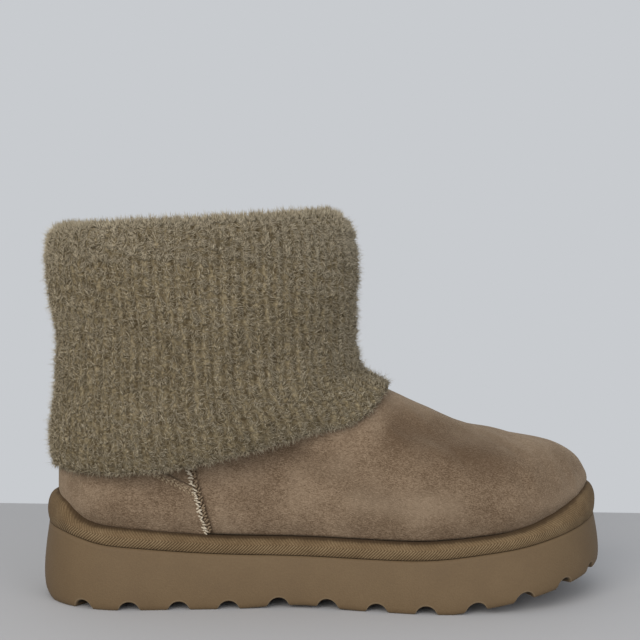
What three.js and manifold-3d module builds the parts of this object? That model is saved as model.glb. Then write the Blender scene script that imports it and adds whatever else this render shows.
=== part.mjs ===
// Low platform ankle boot for the right foot, with a folded knit cuff.
//
// Frame: millimetres, +X to the toe, +Y to the inner (medial) side, +Z up. The floor is z = 0 and the
// origin is the centre of the boot's footprint. Every form is worked out from the tables below: a closed
// ring goes from the heel (angle 0) along the outer side to the toe (angle pi) and back along the inner
// side, and forms are stacks of such rings.

import * as THREE from 'three';
import { mergeVertices } from 'three/addons/utils/BufferGeometryUtils.js';
import Module from 'manifold-3d';

const wasm = await Module();
wasm.setup();

// ---- Driving dimensions -------------------------------------------------------------------------------

const SOLE_LENGTH = 277;
const HEEL_END = -SOLE_LENGTH / 2;
const TOE_END = SOLE_LENGTH / 2;
const HEEL_CAP = 45;            // length of the rounded heel in plan
const TOE_CAP = 56;             // length of the rounded toe in plan
const TOE_SWING = 9;            // how far the toe tip lies towards the inner side
const SWING_START = 55;         // where the centre line starts to turn inwards
const ARCH_LIFT = 1.5;          // the tread's lift under the arch
const ARCH_CENTRE = -12;
const ARCH_REACH = 34;
const TOE_SPRING = 15;          // the tread's lift at the toe tip
const SPRING_START = 60;
const SPRING_POWER = 1.15;
const HEEL_ROUND = 8;           // rounding of the heel's bottom edge
const GAP = 0.35;               // clearance between pieces that meet

const WELT_INSET = 9.2;         // from the sole's widest line to the upper at its lower edge
const WALL = 5;                 // suede and its plush lining together
const SHAFT_BREADTH = 45.5;     // half the shaft's width
const INSOLE_THICKNESS = 4.5;
const COUNTER_PROUD = 1.2;      // thickness of the heel counter
const CUFF_CLEAR = 2.2;         // the cuff's clearance round the shaft and the counter
const CUFF_THIN = 2.4;          // least thickness of the cuff's leaf where it lies on the vamp
const CUFF_NEAR = 14;           // how near the vamp the cuff is pushed clear of it
const CUFF_FOOT_RINGS = 3;      // rings of the cuff that may lie on the vamp

const NOTCH_RADIUS = 5.2;       // edge notches between the lugs
const NOTCH_DROP = 1.0;         // how far the notch's axis lies below the tread
const NOTCH_REACH = 15;         // how far a notch runs in from the edge
const NOTCH_COUNT = 28;
const NOTCH_PHASE = 0.99;       // where the first notch sits, in pitches from the heel
const HEEL_PLAIN = -125;        // behind this the heel's edge has no notches

const RING_STEPS = 48;          // points round the upper and the cuff
const SOLE_STEPS = 80;          // points round the sole pieces

// Half breadths of the sole at its widest level, before the heel and toe are rounded off.
const SOLE_PLAN = [
  { x: -139, outer: 42.0, inner: 40.0 },
  { x: -95, outer: 42.4, inner: 40.0 },
  { x: -50, outer: 40.0, inner: 36.6 },
  { x: -12, outer: 38.4, inner: 34.6 },
  { x: 18, outer: 43.6, inner: 39.6 },
  { x: 50, outer: 50.0, inner: 48.6 },
  { x: 80, outer: 50.0, inner: 50.6 },
  { x: 139, outer: 49.6, inner: 50.6 },
];

// Heights along the side: where the outsole's wall ends and where the upper meets the wrapped midsole.
const SIDE_LINES = [
  { x: -139, wall: 36.2, feather: 43.8 },
  { x: -129.5, wall: 35.2, feather: 41.7 },
  { x: -120, wall: 33.4, feather: 40.0 },
  { x: -108, wall: 31.0, feather: 38.9 },
  { x: -95, wall: 29.7, feather: 38.1 },
  { x: -50, wall: 26.1, feather: 34.2 },
  { x: 10, wall: 24.5, feather: 32.8 },
  { x: 50, wall: 25.1, feather: 33.1 },
  { x: 90, wall: 29.7, feather: 37.1 },
  { x: 115, wall: 34.1, feather: 42.6 },
  { x: 139, wall: 39.2, feather: 49.0 },
];

// How much higher the feather line climbs at the very back and the very front.
const END_RISE = [
  { x: -139, rise: 8.2 },
  { x: -129.5, rise: 6.6 },
  { x: -126, rise: 4.5 },
  { x: -120, rise: 1.7 },
  { x: -112, rise: 0.3 },
  { x: -104, rise: 0 },
  { x: 95, rise: 0 },
  { x: 112, rise: 0.8 },
  { x: 124, rise: 2.2 },
  { x: 131, rise: 4.0 },
  { x: 139, rise: 5.6 },
];
const RISE_FADE = 2;             // levels over which the upper's rings lose that climb

// The outsole's wall from the tread up: inset from the widest line, and height as a share of the wall.
const WALL_PROFILE = [
  { inset: 1.2, share: 0 },
  { inset: 0.2, share: 0.07 },
  { inset: 0, share: 0.3 },
  { inset: 0.9, share: 0.65 },
  { inset: 2.5, share: 1 },
];

// The wrapped midsole's bulging edge, from its lower edge up to the crease under the upper.
const BULGE_PROFILE = [
  { inset: 2.7, share: 0 },
  { inset: 2.1, share: 0.16 },
  { inset: 1.9, share: 0.42 },
  { inset: 2.5, share: 0.68 },
  { inset: 4.1, share: 0.88 },
  { inset: 7.0, share: 1 },
];

/** Rows of a form's rings, lowest first, each numbered with its level. */
const ringTable = (columns, rows) => rows.map((values, level) => {
  const named = columns.split(' ').map((column, i) => [column, values[i]]);
  return Object.fromEntries([['level', level], ...named]);
});

// The upper's rings. Each ring leans from its back point to its front point on the vamp's profile.
// sag: how much of the feather line's dip it keeps. plump: millimetres wider than the feather line.
// shaft: share of the shaft's oval in its shape. backCap and frontCap: lengths of its round ends.
const UPPER_RINGS = ringTable('backX backZ frontX frontZ sag plump shaft backCap frontCap', [
  [-128.6, 44, 130.2, 48.8, 1, 0, 0, 42, 54],
  [-129.6, 50, 132.2, 54.4, 0.9, 2.6, 0, 42, 55],
  [-129.9, 55, 130.6, 62, 0.78, 3.4, 0, 43, 58],
  [-129.9, 60, 125.2, 70.2, 0.64, 3, 0.04, 43, 64],
  [-129.8, 65, 114, 77.4, 0.5, 1.8, 0.1, 44, 74],
  [-129.6, 70, 98, 81.4, 0.38, 0.8, 0.18, 45, 86],
  [-129.3, 76, 81, 84.2, 0.28, 0, 0.28, 46, 96],
  [-129, 82, 65, 88, 0.2, 0, 0.4, 48, 102],
  [-128.5, 88, 49.5, 94.2, 0.13, 0, 0.54, 50, 100],
  [-128, 95, 35, 99.9, 0.07, 0, 0.68, 53, 94],
  [-127.5, 103, 21.5, 104.6, 0.03, 0, 0.81, 57, 84],
  [-127, 112, 10.5, 111, 0, 0, 0.92, 62, 74],
  [-126.5, 122, 5.6, 120, 0, 0, 1, 65, 68],
  [-126, 136, 4, 135, 0, 0, 1, 65, 65],
  [-126, 150, 4, 150, 0, 0, 1, 65, 65],
]);

// The cuff's lower hem, by its place along the boot.
const HEM_LINE = [
  { x: -140, z: 66 },
  { x: -100, z: 66 },
  { x: -60, z: 70.2 },
  { x: -10, z: 82.6 },
  { x: 14, z: 89 },
  { x: 26, z: 94.4 },
  { x: 36, z: 102.2 },
];

// The cuff's rings, from the hem up to the fold. half: half its width.
const CUFF_RINGS = ringTable('backX backZ frontX frontZ half backCap frontCap', [
  [-135.1, 66, 33, 100.2, 50, 56, 88],
  [-135.4, 80, 29.2, 108, 51.5, 60, 84],
  [-133.6, 98, 19.8, 115, 52.4, 66, 80],
  [-132, 118, 16.6, 126, 53.2, 71.5, 77],
  [-132.6, 136, 16.4, 139, 54, 74.4, 74.4],
  [-135.8, 150, 17, 152, 55, 76.4, 76.4],
  [-136.7, 164, 16.8, 166, 55.2, 76.7, 76.7],
  [-135.8, 175, 14.6, 179.2, 54, 75.2, 75.2],
  [-132.6, 181.4, 9.4, 187, 50.4, 71, 71],
  [-128.2, 183.4, 3.8, 189.2, 46, 66, 66],
]);

// The side seam's foot, at the heel counter's front lower corner.
const SEAM_FOOT = { x: -55.4, z: 34 };

// The heel counter's upper edge, seen from the side, from the side seam to the back.
const COUNTER_TOP = [
  { x: -62.1, z: 58.4 },
  { x: -78.3, z: 66.2 },
  { x: -92, z: 71 },
  { x: -108, z: 74.4 },
  { x: -140, z: 76 },
];

const COLOURS = {
  outsole: { color: 0x75634c, roughness: 0.78 },
  midsole: { color: 0x6f5d46, roughness: 0.9 },
  insole: { color: 0xb9a98c, roughness: 0.95 },
  upper: { color: 0x7a6753, roughness: 0.92 },
  heelCounter: { color: 0x786652, roughness: 0.92 },
  cuff: { color: 0x7c7360, roughness: 0.97 },
};

// ---- Tables and curves --------------------------------------------------------------------------------

const mix = (a, b, share) => a + (b - a) * share;
const clamp = (value, low, high) => Math.min(Math.max(value, low), high);

/** One column of a table at any place between its rows: a smooth curve through every row. */
function lookUp(table, keyColumn, key, column) {
  const last = table.length - 1;
  let row = 0;
  while (row < last - 1 && key > table[row + 1][keyColumn]) row += 1;
  const place = (index) => table[index][keyColumn];
  const value = (index) => table[index][column];
  const slope = (index) => {
    const before = Math.max(index - 1, 0);
    const after = Math.min(index + 1, last);
    return (value(after) - value(before)) / (place(after) - place(before));
  };
  const span = place(row + 1) - place(row);
  const t = clamp((key - place(row)) / span, 0, 1);
  const rise = value(row + 1) - value(row);
  const startBend = slope(row) * span - rise;
  const endBend = rise - slope(row + 1) * span;
  return value(row) + t * rise + t * (1 - t) * ((1 - t) * startBend + t * endBend);
}

/** A whole row of a table at a level between its rows. */
function rowAt(table, level) {
  const row = {};
  for (const column of Object.keys(table[0])) row[column] = lookUp(table, 'level', level, column);
  return row;
}

/** The boot's centre line in plan: straight from the heel, then swinging towards the inner side. */
function centreLine(x) {
  const along = Math.max((x - SWING_START) / (TOE_END - SWING_START), 0);
  return TOE_SWING * along * along;
}

/** Quarter of an ellipse: 0 at the end of a form, 1 once past its rounded length. */
function roundEnd(distance, length) {
  const short = clamp(1 - distance / length, 0, 1);
  return Math.sqrt(1 - short * short);
}

const sideOf = (angle) => (Math.sin(angle) >= 0 ? 'outer' : 'inner');
const signOf = (angle) => (Math.sin(angle) >= 0 ? -1 : 1);

/** The tread's height: arch lift, toe spring and the rounded back of the heel. */
function treadHeight(x) {
  const arch = ARCH_LIFT * Math.cos(clamp((x - ARCH_CENTRE) / ARCH_REACH, -1, 1) * Math.PI / 2) ** 2;
  const spring = TOE_SPRING * Math.max((x - SPRING_START) / (TOE_END - SPRING_START), 0) ** SPRING_POWER;
  const back = clamp((HEEL_END + HEEL_ROUND - x) / HEEL_ROUND, 0, 1);
  return arch + spring + HEEL_ROUND * (1 - Math.sqrt(1 - back * back));
}

const wallHeight = (x) => lookUp(SIDE_LINES, 'x', x, 'wall');
const sideFeather = (x) => lookUp(SIDE_LINES, 'x', x, 'feather');
const endRise = (x) => lookUp(END_RISE, 'x', x, 'rise');
const featherHeight = (x) => sideFeather(x) + endRise(x);

/** A point of the sole's widest outline in plan. */
function planPoint(angle) {
  const x = mix(HEEL_END, TOE_END, (1 - Math.cos(angle)) / 2);
  const ends = roundEnd(x - HEEL_END, HEEL_CAP) * roundEnd(TOE_END - x, TOE_CAP);
  const half = lookUp(SOLE_PLAN, 'x', x, sideOf(angle)) * ends;
  return new THREE.Vector2(x, centreLine(x) + signOf(angle) * half);
}

/** The same outline moved in by an inset, square to the outline. */
function insetPoint(angle, inset) {
  const step = 0.01;
  const along = planPoint(angle + step).sub(planPoint(angle - step)).normalize();
  return planPoint(angle).add(new THREE.Vector2(-along.y, along.x).multiplyScalar(inset));
}

/** Half breadth of the upper at its feather line, before its ends are rounded off. */
const featherBreadth = (x, side) => lookUp(SOLE_PLAN, 'x', x, side) - WELT_INSET;

/** A point of the upper's outside. level counts rings from the feather line up, also between rings. */
function upperPoint(level, angle) {
  const ring = rowAt(UPPER_RINGS, clamp(level, 0, UPPER_RINGS.length - 1));
  const share = (1 - Math.cos(angle)) / 2;
  const x = mix(ring.backX, ring.frontX, share);
  const first = UPPER_RINGS[0];
  const flat = mix(first.backZ, first.frontZ, (x - first.backX) / (first.frontX - first.backX));
  const climb = clamp(1 - level / RISE_FADE, 0, 1) * endRise(x);
  const z = mix(ring.backZ, ring.frontZ, share) + ring.sag * (sideFeather(x) - flat) + climb;
  const ends = roundEnd(x - ring.backX, ring.backCap) * roundEnd(ring.frontX - x, ring.frontCap);
  const half = mix(featherBreadth(x, sideOf(angle)) + ring.plump, SHAFT_BREADTH, ring.shaft) * ends;
  return new THREE.Vector3(x, centreLine(x) + signOf(angle) * half, z);
}

/** The upper's surface moved out (or in, when negative) along its own normal. */
function upperOffset(level, angle, offset) {
  const step = 0.02;
  const top = UPPER_RINGS.length - 1;
  const rise = upperPoint(Math.min(level + step, top), angle);
  rise.sub(upperPoint(Math.max(level - step, 0), angle));
  const along = upperPoint(level, angle + step).sub(upperPoint(level, angle - step));
  const normal = along.cross(rise).normalize();
  return upperPoint(level, angle).addScaledVector(normal, offset);
}

/** A point of the cuff's outside. Its lowest ring follows the hem line. */
function cuffPoint(level, angle) {
  const ring = rowAt(CUFF_RINGS, level);
  const share = (1 - Math.cos(angle)) / 2;
  const x = mix(ring.backX, ring.frontX, share);
  const hemRing = CUFF_RINGS[0];
  const dip = lookUp(HEM_LINE, 'x', x, 'z') - mix(hemRing.backZ, hemRing.frontZ, share);
  const z = mix(ring.backZ, ring.frontZ, share) + dip * clamp(1 - level / 5, 0, 1);
  const ends = roundEnd(x - ring.backX, ring.backCap) * roundEnd(ring.frontX - x, ring.frontCap);
  return new THREE.Vector3(x, signOf(angle) * ring.half * ends, z);
}

// ---- Meshes from rings --------------------------------------------------------------------------------

const ringAngles = (steps) => Array.from({ length: steps }, (_, i) => (i * 2 * Math.PI) / steps);

/** Triangles between a ring and the next one, both closed and of the same number of points. */
function sleeve(triangles, first, second, steps) {
  for (let i = 0; i < steps; i += 1) {
    const next = (i + 1) % steps;
    triangles.push(first + i, first + next, second + next, first + i, second + next, second + i);
  }
}

/** A flat or ruled lid over a ring, as a ladder from its outer side to its inner side. */
function ladder(triangles, first, steps, facesUp) {
  const half = steps / 2;
  const add = (a, b, c) => triangles.push(...(facesUp ? [a, b, c] : [a, c, b]));
  add(first, first + 1, first + steps - 1);
  for (let i = 1; i < half - 1; i += 1) {
    const across = first + steps - i;
    add(first + i, first + i + 1, across - 1);
    add(first + i, across - 1, across);
  }
  add(first + half - 1, first + half, first + half + 1);
}

/** A closed geometry from rings of points, lowest first: with two lids, or joined last to first. */
function geometryFromRings(rings, lids) {
  const steps = rings[0].length;
  const triangles = [];
  rings.slice(1).forEach((_, i) => sleeve(triangles, i * steps, (i + 1) * steps, steps));
  if (lids) {
    ladder(triangles, 0, steps, false);
    ladder(triangles, (rings.length - 1) * steps, steps, true);
  } else {
    sleeve(triangles, (rings.length - 1) * steps, 0, steps);
  }
  const geometry = new THREE.BufferGeometry();
  const flat = rings.flat().flatMap((point) => [point.x, point.y, point.z]);
  geometry.setAttribute('position', new THREE.Float32BufferAttribute(flat, 3));
  geometry.setIndex(triangles);
  return geometry;
}

/** A solid of the same shape, for cutting and joining. */
function solidOf(geometry) {
  const plain = geometry.clone();
  plain.deleteAttribute('normal');
  plain.deleteAttribute('uv');
  const merged = mergeVertices(plain, 1e-4);
  const vertProperties = new Float32Array(merged.attributes.position.array);
  const triVerts = new Uint32Array(merged.index.array);
  return new wasm.Manifold(new wasm.Mesh({ numProp: 3, vertProperties, triVerts }));
}

function geometryOf(solid) {
  const mesh = solid.getMesh();
  const geometry = new THREE.BufferGeometry();
  geometry.setAttribute('position', new THREE.BufferAttribute(mesh.vertProperties, 3));
  geometry.setIndex(new THREE.BufferAttribute(mesh.triVerts, 1));
  return geometry;
}

function piece(name, geometry, look) {
  geometry.computeVertexNormals();
  const mesh = new THREE.Mesh(geometry, new THREE.MeshStandardMaterial({ ...look, metalness: 0 }));
  mesh.name = name;
  return mesh;
}

/** Rings of a sole piece: each row of its edge profile between a lower and an upper height. */
function soleRings(profile, lowHeight, highHeight) {
  return profile.map((row) => ringAngles(SOLE_STEPS).map((angle) => {
    const place = insetPoint(angle, row.inset);
    return new THREE.Vector3(place.x, place.y, mix(lowHeight(place.x), highHeight(place.x), row.share));
  }));
}

// ---- Pieces -------------------------------------------------------------------------------------------

/** Angles at which the edge notches sit: equal steps of length along the outline, none at the heel. */
function notchAngles() {
  const samples = 720;
  const lengths = [0];
  for (let i = 1; i <= samples; i += 1) {
    const here = planPoint((i * 2 * Math.PI) / samples);
    lengths.push(lengths[i - 1] + here.distanceTo(planPoint(((i - 1) * 2 * Math.PI) / samples)));
  }
  const pitch = lengths[samples] / NOTCH_COUNT;
  return Array.from({ length: NOTCH_COUNT }, (_, notch) => {
    const wanted = (notch + NOTCH_PHASE) * pitch;
    const after = Math.max(lengths.findIndex((length) => length >= wanted), 1);
    const part = (wanted - lengths[after - 1]) / (lengths[after] - lengths[after - 1]);
    return ((after - 1 + part) * 2 * Math.PI) / samples;
  }).filter((angle) => planPoint(angle).x > HEEL_PLAIN);
}

/** One round-topped notch, running in from the sole's edge. */
function notchSolid(angle) {
  const edge = insetPoint(angle, 0);
  const inner = insetPoint(angle, NOTCH_REACH);
  const overrun = 4;
  const outward = edge.clone().sub(inner).normalize();
  const start = edge.clone().addScaledVector(outward, overrun);
  const low = treadHeight(edge.x - Math.sign(edge.x) * 2) - NOTCH_DROP;
  const from = new THREE.Vector3(start.x, start.y, low);
  const to = new THREE.Vector3(inner.x, inner.y, treadHeight(inner.x) - NOTCH_DROP);
  const geometry = new THREE.CylinderGeometry(NOTCH_RADIUS, NOTCH_RADIUS, from.distanceTo(to), 16);
  const turn = new THREE.Quaternion();
  turn.setFromUnitVectors(new THREE.Vector3(0, 1, 0), to.clone().sub(from).normalize());
  geometry.applyQuaternion(turn);
  const middle = from.clone().lerp(to, 0.5);
  geometry.translate(middle.x, middle.y, middle.z);
  return solidOf(geometry);
}

/** Thick moulded outsole: flared wall, arch, toe spring and a notch between each two edge lugs. */
function outsoleGeometry() {
  let solid = solidOf(geometryFromRings(soleRings(WALL_PROFILE, treadHeight, wallHeight), true));
  for (const angle of notchAngles()) solid = solid.subtract(notchSolid(angle));
  return geometryOf(solid);
}

/** Midsole wrapped in woven tape, bulging round its edge between the outsole and the upper. */
function midsoleGeometry() {
  const low = (x) => wallHeight(x) + GAP;
  return geometryFromRings(soleRings(BULGE_PROFILE, low, featherHeight), true);
}

/** Footbed that lies on the midsole inside the upper. */
function insoleGeometry() {
  const inset = WELT_INSET + WALL + 2;
  const profile = [{ inset, share: 0 }, { inset, share: 1 }];
  const low = (x) => featherHeight(x) + GAP;
  return geometryFromRings(soleRings(profile, low, (x) => low(x) + INSOLE_THICKNESS), true);
}

/** The upper's rings at an offset from its outside, lowest first. */
function upperRings(offset, lift = GAP) {
  return UPPER_RINGS.map((ring) => ringAngles(RING_STEPS).map((angle) => {
    const point = upperOffset(ring.level, angle, offset);
    point.z += lift;
    return point;
  }));
}

/** Hollow upper: one wall from the feather line over the vamp and up the shaft, open at both ends. */
function upperGeometry() {
  const outside = upperRings(0);
  const inside = upperRings(-WALL).reverse();
  return geometryFromRings([...outside, ...inside], false);
}

/** The upper's form at an offset, filled, and carried straight down past its feather line. */
function upperForm(offset) {
  const rings = upperRings(offset);
  const skirt = rings[0].map((point) => new THREE.Vector3(point.x, point.y, 0));
  return solidOf(geometryFromRings([skirt, ...rings], true));
}

/** Everything below the upper's feather line, as a block of the sole's plan. */
function belowFeather() {
  const block = [{ inset: 0, share: 0 }, { inset: 0, share: 1 }];
  return solidOf(geometryFromRings(soleRings(block, () => -1, (x) => featherHeight(x) + GAP), true));
}

/** Heel counter: a proud layer cut between two larger forms of the upper, behind the side seams. */
function counterGeometry() {
  const outline = new THREE.Shape();
  outline.moveTo(SEAM_FOOT.x, SEAM_FOOT.z);
  for (const corner of COUNTER_TOP) outline.lineTo(corner.x, corner.z);
  outline.lineTo(COUNTER_TOP.at(-1).x, SEAM_FOOT.z);
  outline.closePath();
  const breadth = 2 * SOLE_LENGTH;
  const region = new THREE.ExtrudeGeometry(outline, { depth: breadth, bevelEnabled: false });
  region.rotateX(Math.PI / 2);
  region.translate(0, breadth / 2, 0);
  const layer = upperForm(GAP + COUNTER_PROUD).subtract(upperForm(GAP));
  return geometryOf(layer.subtract(belowFeather()).intersect(solidOf(region)));
}

/** The level of the upper whose offset surface comes nearest to a point, at one angle. */
function nearestLevel(angle, target, offset) {
  const samples = 240;
  const levels = Array.from({ length: samples + 1 }, (_, i) => (i / samples) * (UPPER_RINGS.length - 1));
  const distance = (level) => upperOffset(level, angle, offset).distanceTo(target);
  return levels.reduce((best, level) => (distance(level) < distance(best) ? level : best));
}

/** Points a cuff's thickness off the upper round its throat, with the way out at each. */
function throatPoints() {
  const found = [];
  for (let level = 6; level <= 12; level += 0.06) {
    for (let step = 0; step <= 90; step += 1) {
      const angle = Math.PI * (0.5 + step / 90);
      const skin = upperOffset(level, angle, 0);
      const place = upperOffset(level, angle, CUFF_CLEAR + CUFF_THIN);
      found.push({ place, out: place.clone().sub(skin).normalize() });
    }
  }
  return found;
}

/** Pushes a point out, mostly sideways, until it clears the upper by the gap and the leaf's thickness. */
function clearOfUpper(point, throat) {
  for (let turn = 0; turn < 3; turn += 1) {
    const near = throat.reduce((best, item) => (
      item.place.distanceToSquared(point) < best.place.distanceToSquared(point) ? item : best));
    if (near.place.distanceTo(point) < CUFF_NEAR) {
      const depth = Math.max(near.place.clone().sub(point).dot(near.out), 0);
      const way = near.out.clone().multiply(new THREE.Vector3(0.15, 1, 0.15)).normalize();
      point.addScaledVector(way, depth / way.dot(near.out));
    }
  }
  return point;
}

/** Knit cuff: a doubled collar above the shaft whose outer leaf folds down over it to the hem. */
function cuffGeometry() {
  const topLevel = UPPER_RINGS.length - 1;
  const angles = ringAngles(RING_STEPS);
  const throat = throatPoints();
  const outside = CUFF_RINGS.map((ring, row) => angles.map((angle) => {
    const point = cuffPoint(ring.level, angle);
    return row < CUFF_FOOT_RINGS ? clearOfUpper(point, throat) : point;
  }));
  const shaftTop = UPPER_RINGS[topLevel].backZ + 2 * GAP;
  const mouth = CUFF_RINGS.at(-1);
  const lining = [0.12, 0.5, 1].map((share) => angles.map((angle) => {
    const wall = upperOffset(topLevel, angle, -WALL + 0.5);
    const rim = cuffPoint(mouth.level, angle);
    return new THREE.Vector3(wall.x, wall.y, mix(rim.z - 1, shaftTop, share));
  }));
  const leafSteps = 7;
  const leaf = Array.from({ length: leafSteps + 1 }, (_, step) => angles.map((angle, column) => {
    const hem = nearestLevel(angle, outside[0][column], CUFF_CLEAR);
    const point = upperOffset(mix(topLevel, hem, step / leafSteps), angle, CUFF_CLEAR);
    if (step === 0) point.z = shaftTop;
    return point;
  }));
  return geometryFromRings([...outside, ...lining, ...leaf], false);
}

const boot = new THREE.Group();
boot.name = 'boot';
boot.add(piece('outsole', outsoleGeometry(), COLOURS.outsole));
boot.add(piece('midsole', midsoleGeometry(), COLOURS.midsole));
boot.add(piece('insole', insoleGeometry(), COLOURS.insole));
boot.add(piece('upper', upperGeometry(), COLOURS.upper));
boot.add(piece('heel_counter', counterGeometry(), COLOURS.heelCounter));
boot.add(piece('cuff', cuffGeometry(), COLOURS.cuff));

export default boot;
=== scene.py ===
"""A low platform ankle boot for the right foot, in suede, with a folded rib-knit cuff.

The forms repeat the boot's own tables, in millimetres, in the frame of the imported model: +X to the toe,
+Y to the inner side, +Z up, floor at z = 0. A ring goes from the heel (angle 0) along the outer side to
the toe (angle pi) and back along the inner side.
"""

from __future__ import annotations

import logging
import math
from dataclasses import dataclass, field
from enum import Enum
from typing import Any, Callable, Sequence

import bpy
import numpy as np
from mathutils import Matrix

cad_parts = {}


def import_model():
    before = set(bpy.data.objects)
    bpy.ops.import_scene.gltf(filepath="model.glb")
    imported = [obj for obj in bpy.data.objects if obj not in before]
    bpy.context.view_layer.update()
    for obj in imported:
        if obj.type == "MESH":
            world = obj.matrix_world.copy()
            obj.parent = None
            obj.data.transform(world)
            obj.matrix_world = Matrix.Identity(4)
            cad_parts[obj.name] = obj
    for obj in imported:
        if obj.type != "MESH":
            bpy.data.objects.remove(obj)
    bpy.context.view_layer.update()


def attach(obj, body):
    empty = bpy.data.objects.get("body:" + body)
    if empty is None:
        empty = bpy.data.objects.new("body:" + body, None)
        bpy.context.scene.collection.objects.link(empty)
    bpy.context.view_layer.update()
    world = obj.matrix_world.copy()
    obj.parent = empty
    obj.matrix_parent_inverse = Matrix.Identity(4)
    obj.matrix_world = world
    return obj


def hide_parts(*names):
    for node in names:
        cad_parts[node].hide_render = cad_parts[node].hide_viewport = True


LOG = logging.getLogger("boot")
MM = 0.001
TAU = 2 * math.pi
Array = np.ndarray
NOISE, RAMP, MATH = "ShaderNodeTexNoise", "ShaderNodeValToRGB", "ShaderNodeMath"


# ---- Tables and numbers -------------------------------------------------------------------------------


class Table:
    """Rows with named columns, joined by a smooth curve through every row."""

    def __init__(self, columns: str, rows: Sequence[Sequence[float]]) -> None:
        """Keeps the rows. The first column is the key; ring tables number their rows as levels instead.

        Args:
            columns: the columns' names, with spaces between them.
            rows: one list of values for each row.
        """
        names = columns.split()
        values = np.array(rows, float)
        if names[0] == "level":
            values = np.column_stack([np.arange(len(rows)), values])
        self.values = {name: values[:, i] for i, name in enumerate(names)}
        self.keys = values[:, 0]

    @property
    def last(self) -> float:
        """The key of the last row."""
        return float(self.keys[-1])

    def at(self, place: Array | float, column: str) -> Array:
        """One column at any place between the rows.

        A cubic curve runs through every row, with each row's slope taken across its two neighbours.

        Args:
            place: values of the key.
            column: the column's name.

        Returns:
            The column's values, in the shape of place.
        """
        keys, values = self.keys, self.values[column]
        after = np.minimum(np.arange(len(keys)) + 1, len(keys) - 1)
        before = np.maximum(np.arange(len(keys)) - 1, 0)
        slopes = (values[after] - values[before]) / (keys[after] - keys[before])
        place = np.asarray(place, float)
        row = np.clip(np.searchsorted(keys, place) - 1, 0, len(keys) - 2)
        span = keys[row + 1] - keys[row]
        t = np.clip((place - keys[row]) / span, 0, 1)
        rise = values[row + 1] - values[row]
        start_bend = slopes[row] * span - rise
        end_bend = rise - slopes[row + 1] * span
        return values[row] + t * rise + t * (1 - t) * ((1 - t) * start_bend + t * end_bend)


def mix(a: Any, b: Any, share: Any) -> Any:
    """A value between a and b."""
    return a + (b - a) * share


def smooth(value: Array, low: float, high: float) -> Array:
    """0 below low, 1 above high and a smooth ramp between them."""
    t = np.clip((value - low) / (high - low), 0, 1)
    return t * t * (3 - 2 * t)


def bump(distance: Array, width: float) -> Array:
    """A soft bell: 1 at distance 0, near 0 past two widths."""
    return np.exp(-((distance / width) ** 2))


def round_end(distance: Array, length: Array | float) -> Array:
    """Quarter of an ellipse: 0 at the end of a form, 1 once past its rounded length."""
    short = np.clip(1 - distance / length, 0, 1)
    return np.sqrt(1 - short * short)


def unit(vectors: Array) -> Array:
    """The vectors at length 1."""
    return vectors / np.maximum(np.linalg.norm(vectors, axis=-1, keepdims=True), 1e-9)


def waves(x: Array, y: Array, size: float, seed: int) -> Array:
    """Soft random hills: six sine waves in random directions, about size apart, between about -1 and 1.

    Args:
        x: first coordinate of the places.
        y: second coordinate.
        size: about how far apart the hills lie.
        seed: picks the waves.

    Returns:
        The hills' height at each place.
    """
    rng = np.random.default_rng(seed)
    total = np.zeros(np.broadcast(x, y).shape)
    for _ in range(6):
        turn, start = rng.uniform(0, TAU, 2)
        pitch = size * rng.uniform(0.75, 1.5)
        total += np.sin((x * math.cos(turn) + y * math.sin(turn)) * TAU / pitch + start)
    return total / 3.5


def polyline_distance(x: Array, z: Array, corners: Sequence[tuple[float, float]]) -> tuple[Array, Array]:
    """Distance from points to a line of straight stretches, and the share of its length passed there.

    Args:
        x: first coordinate of the points.
        z: second coordinate.
        corners: the line's corners.

    Returns:
        The distances and the shares, 0 to 1.
    """
    best = np.full(np.shape(x), 1e9)
    share = np.zeros(np.shape(x))
    count = len(corners) - 1
    for i, ((ax, az), (bx, bz)) in enumerate(zip(corners[:-1], corners[1:])):
        dx, dz = bx - ax, bz - az
        t = np.clip(((x - ax) * dx + (z - az) * dz) / (dx * dx + dz * dz), 0, 1)
        gap = np.hypot(x - ax - t * dx, z - az - t * dz)
        nearer = gap < best
        best = np.where(nearer, gap, best)
        share = np.where(nearer, (i + t) / count, share)
    return best, share


# ---- Meshes -------------------------------------------------------------------------------------------


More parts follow.
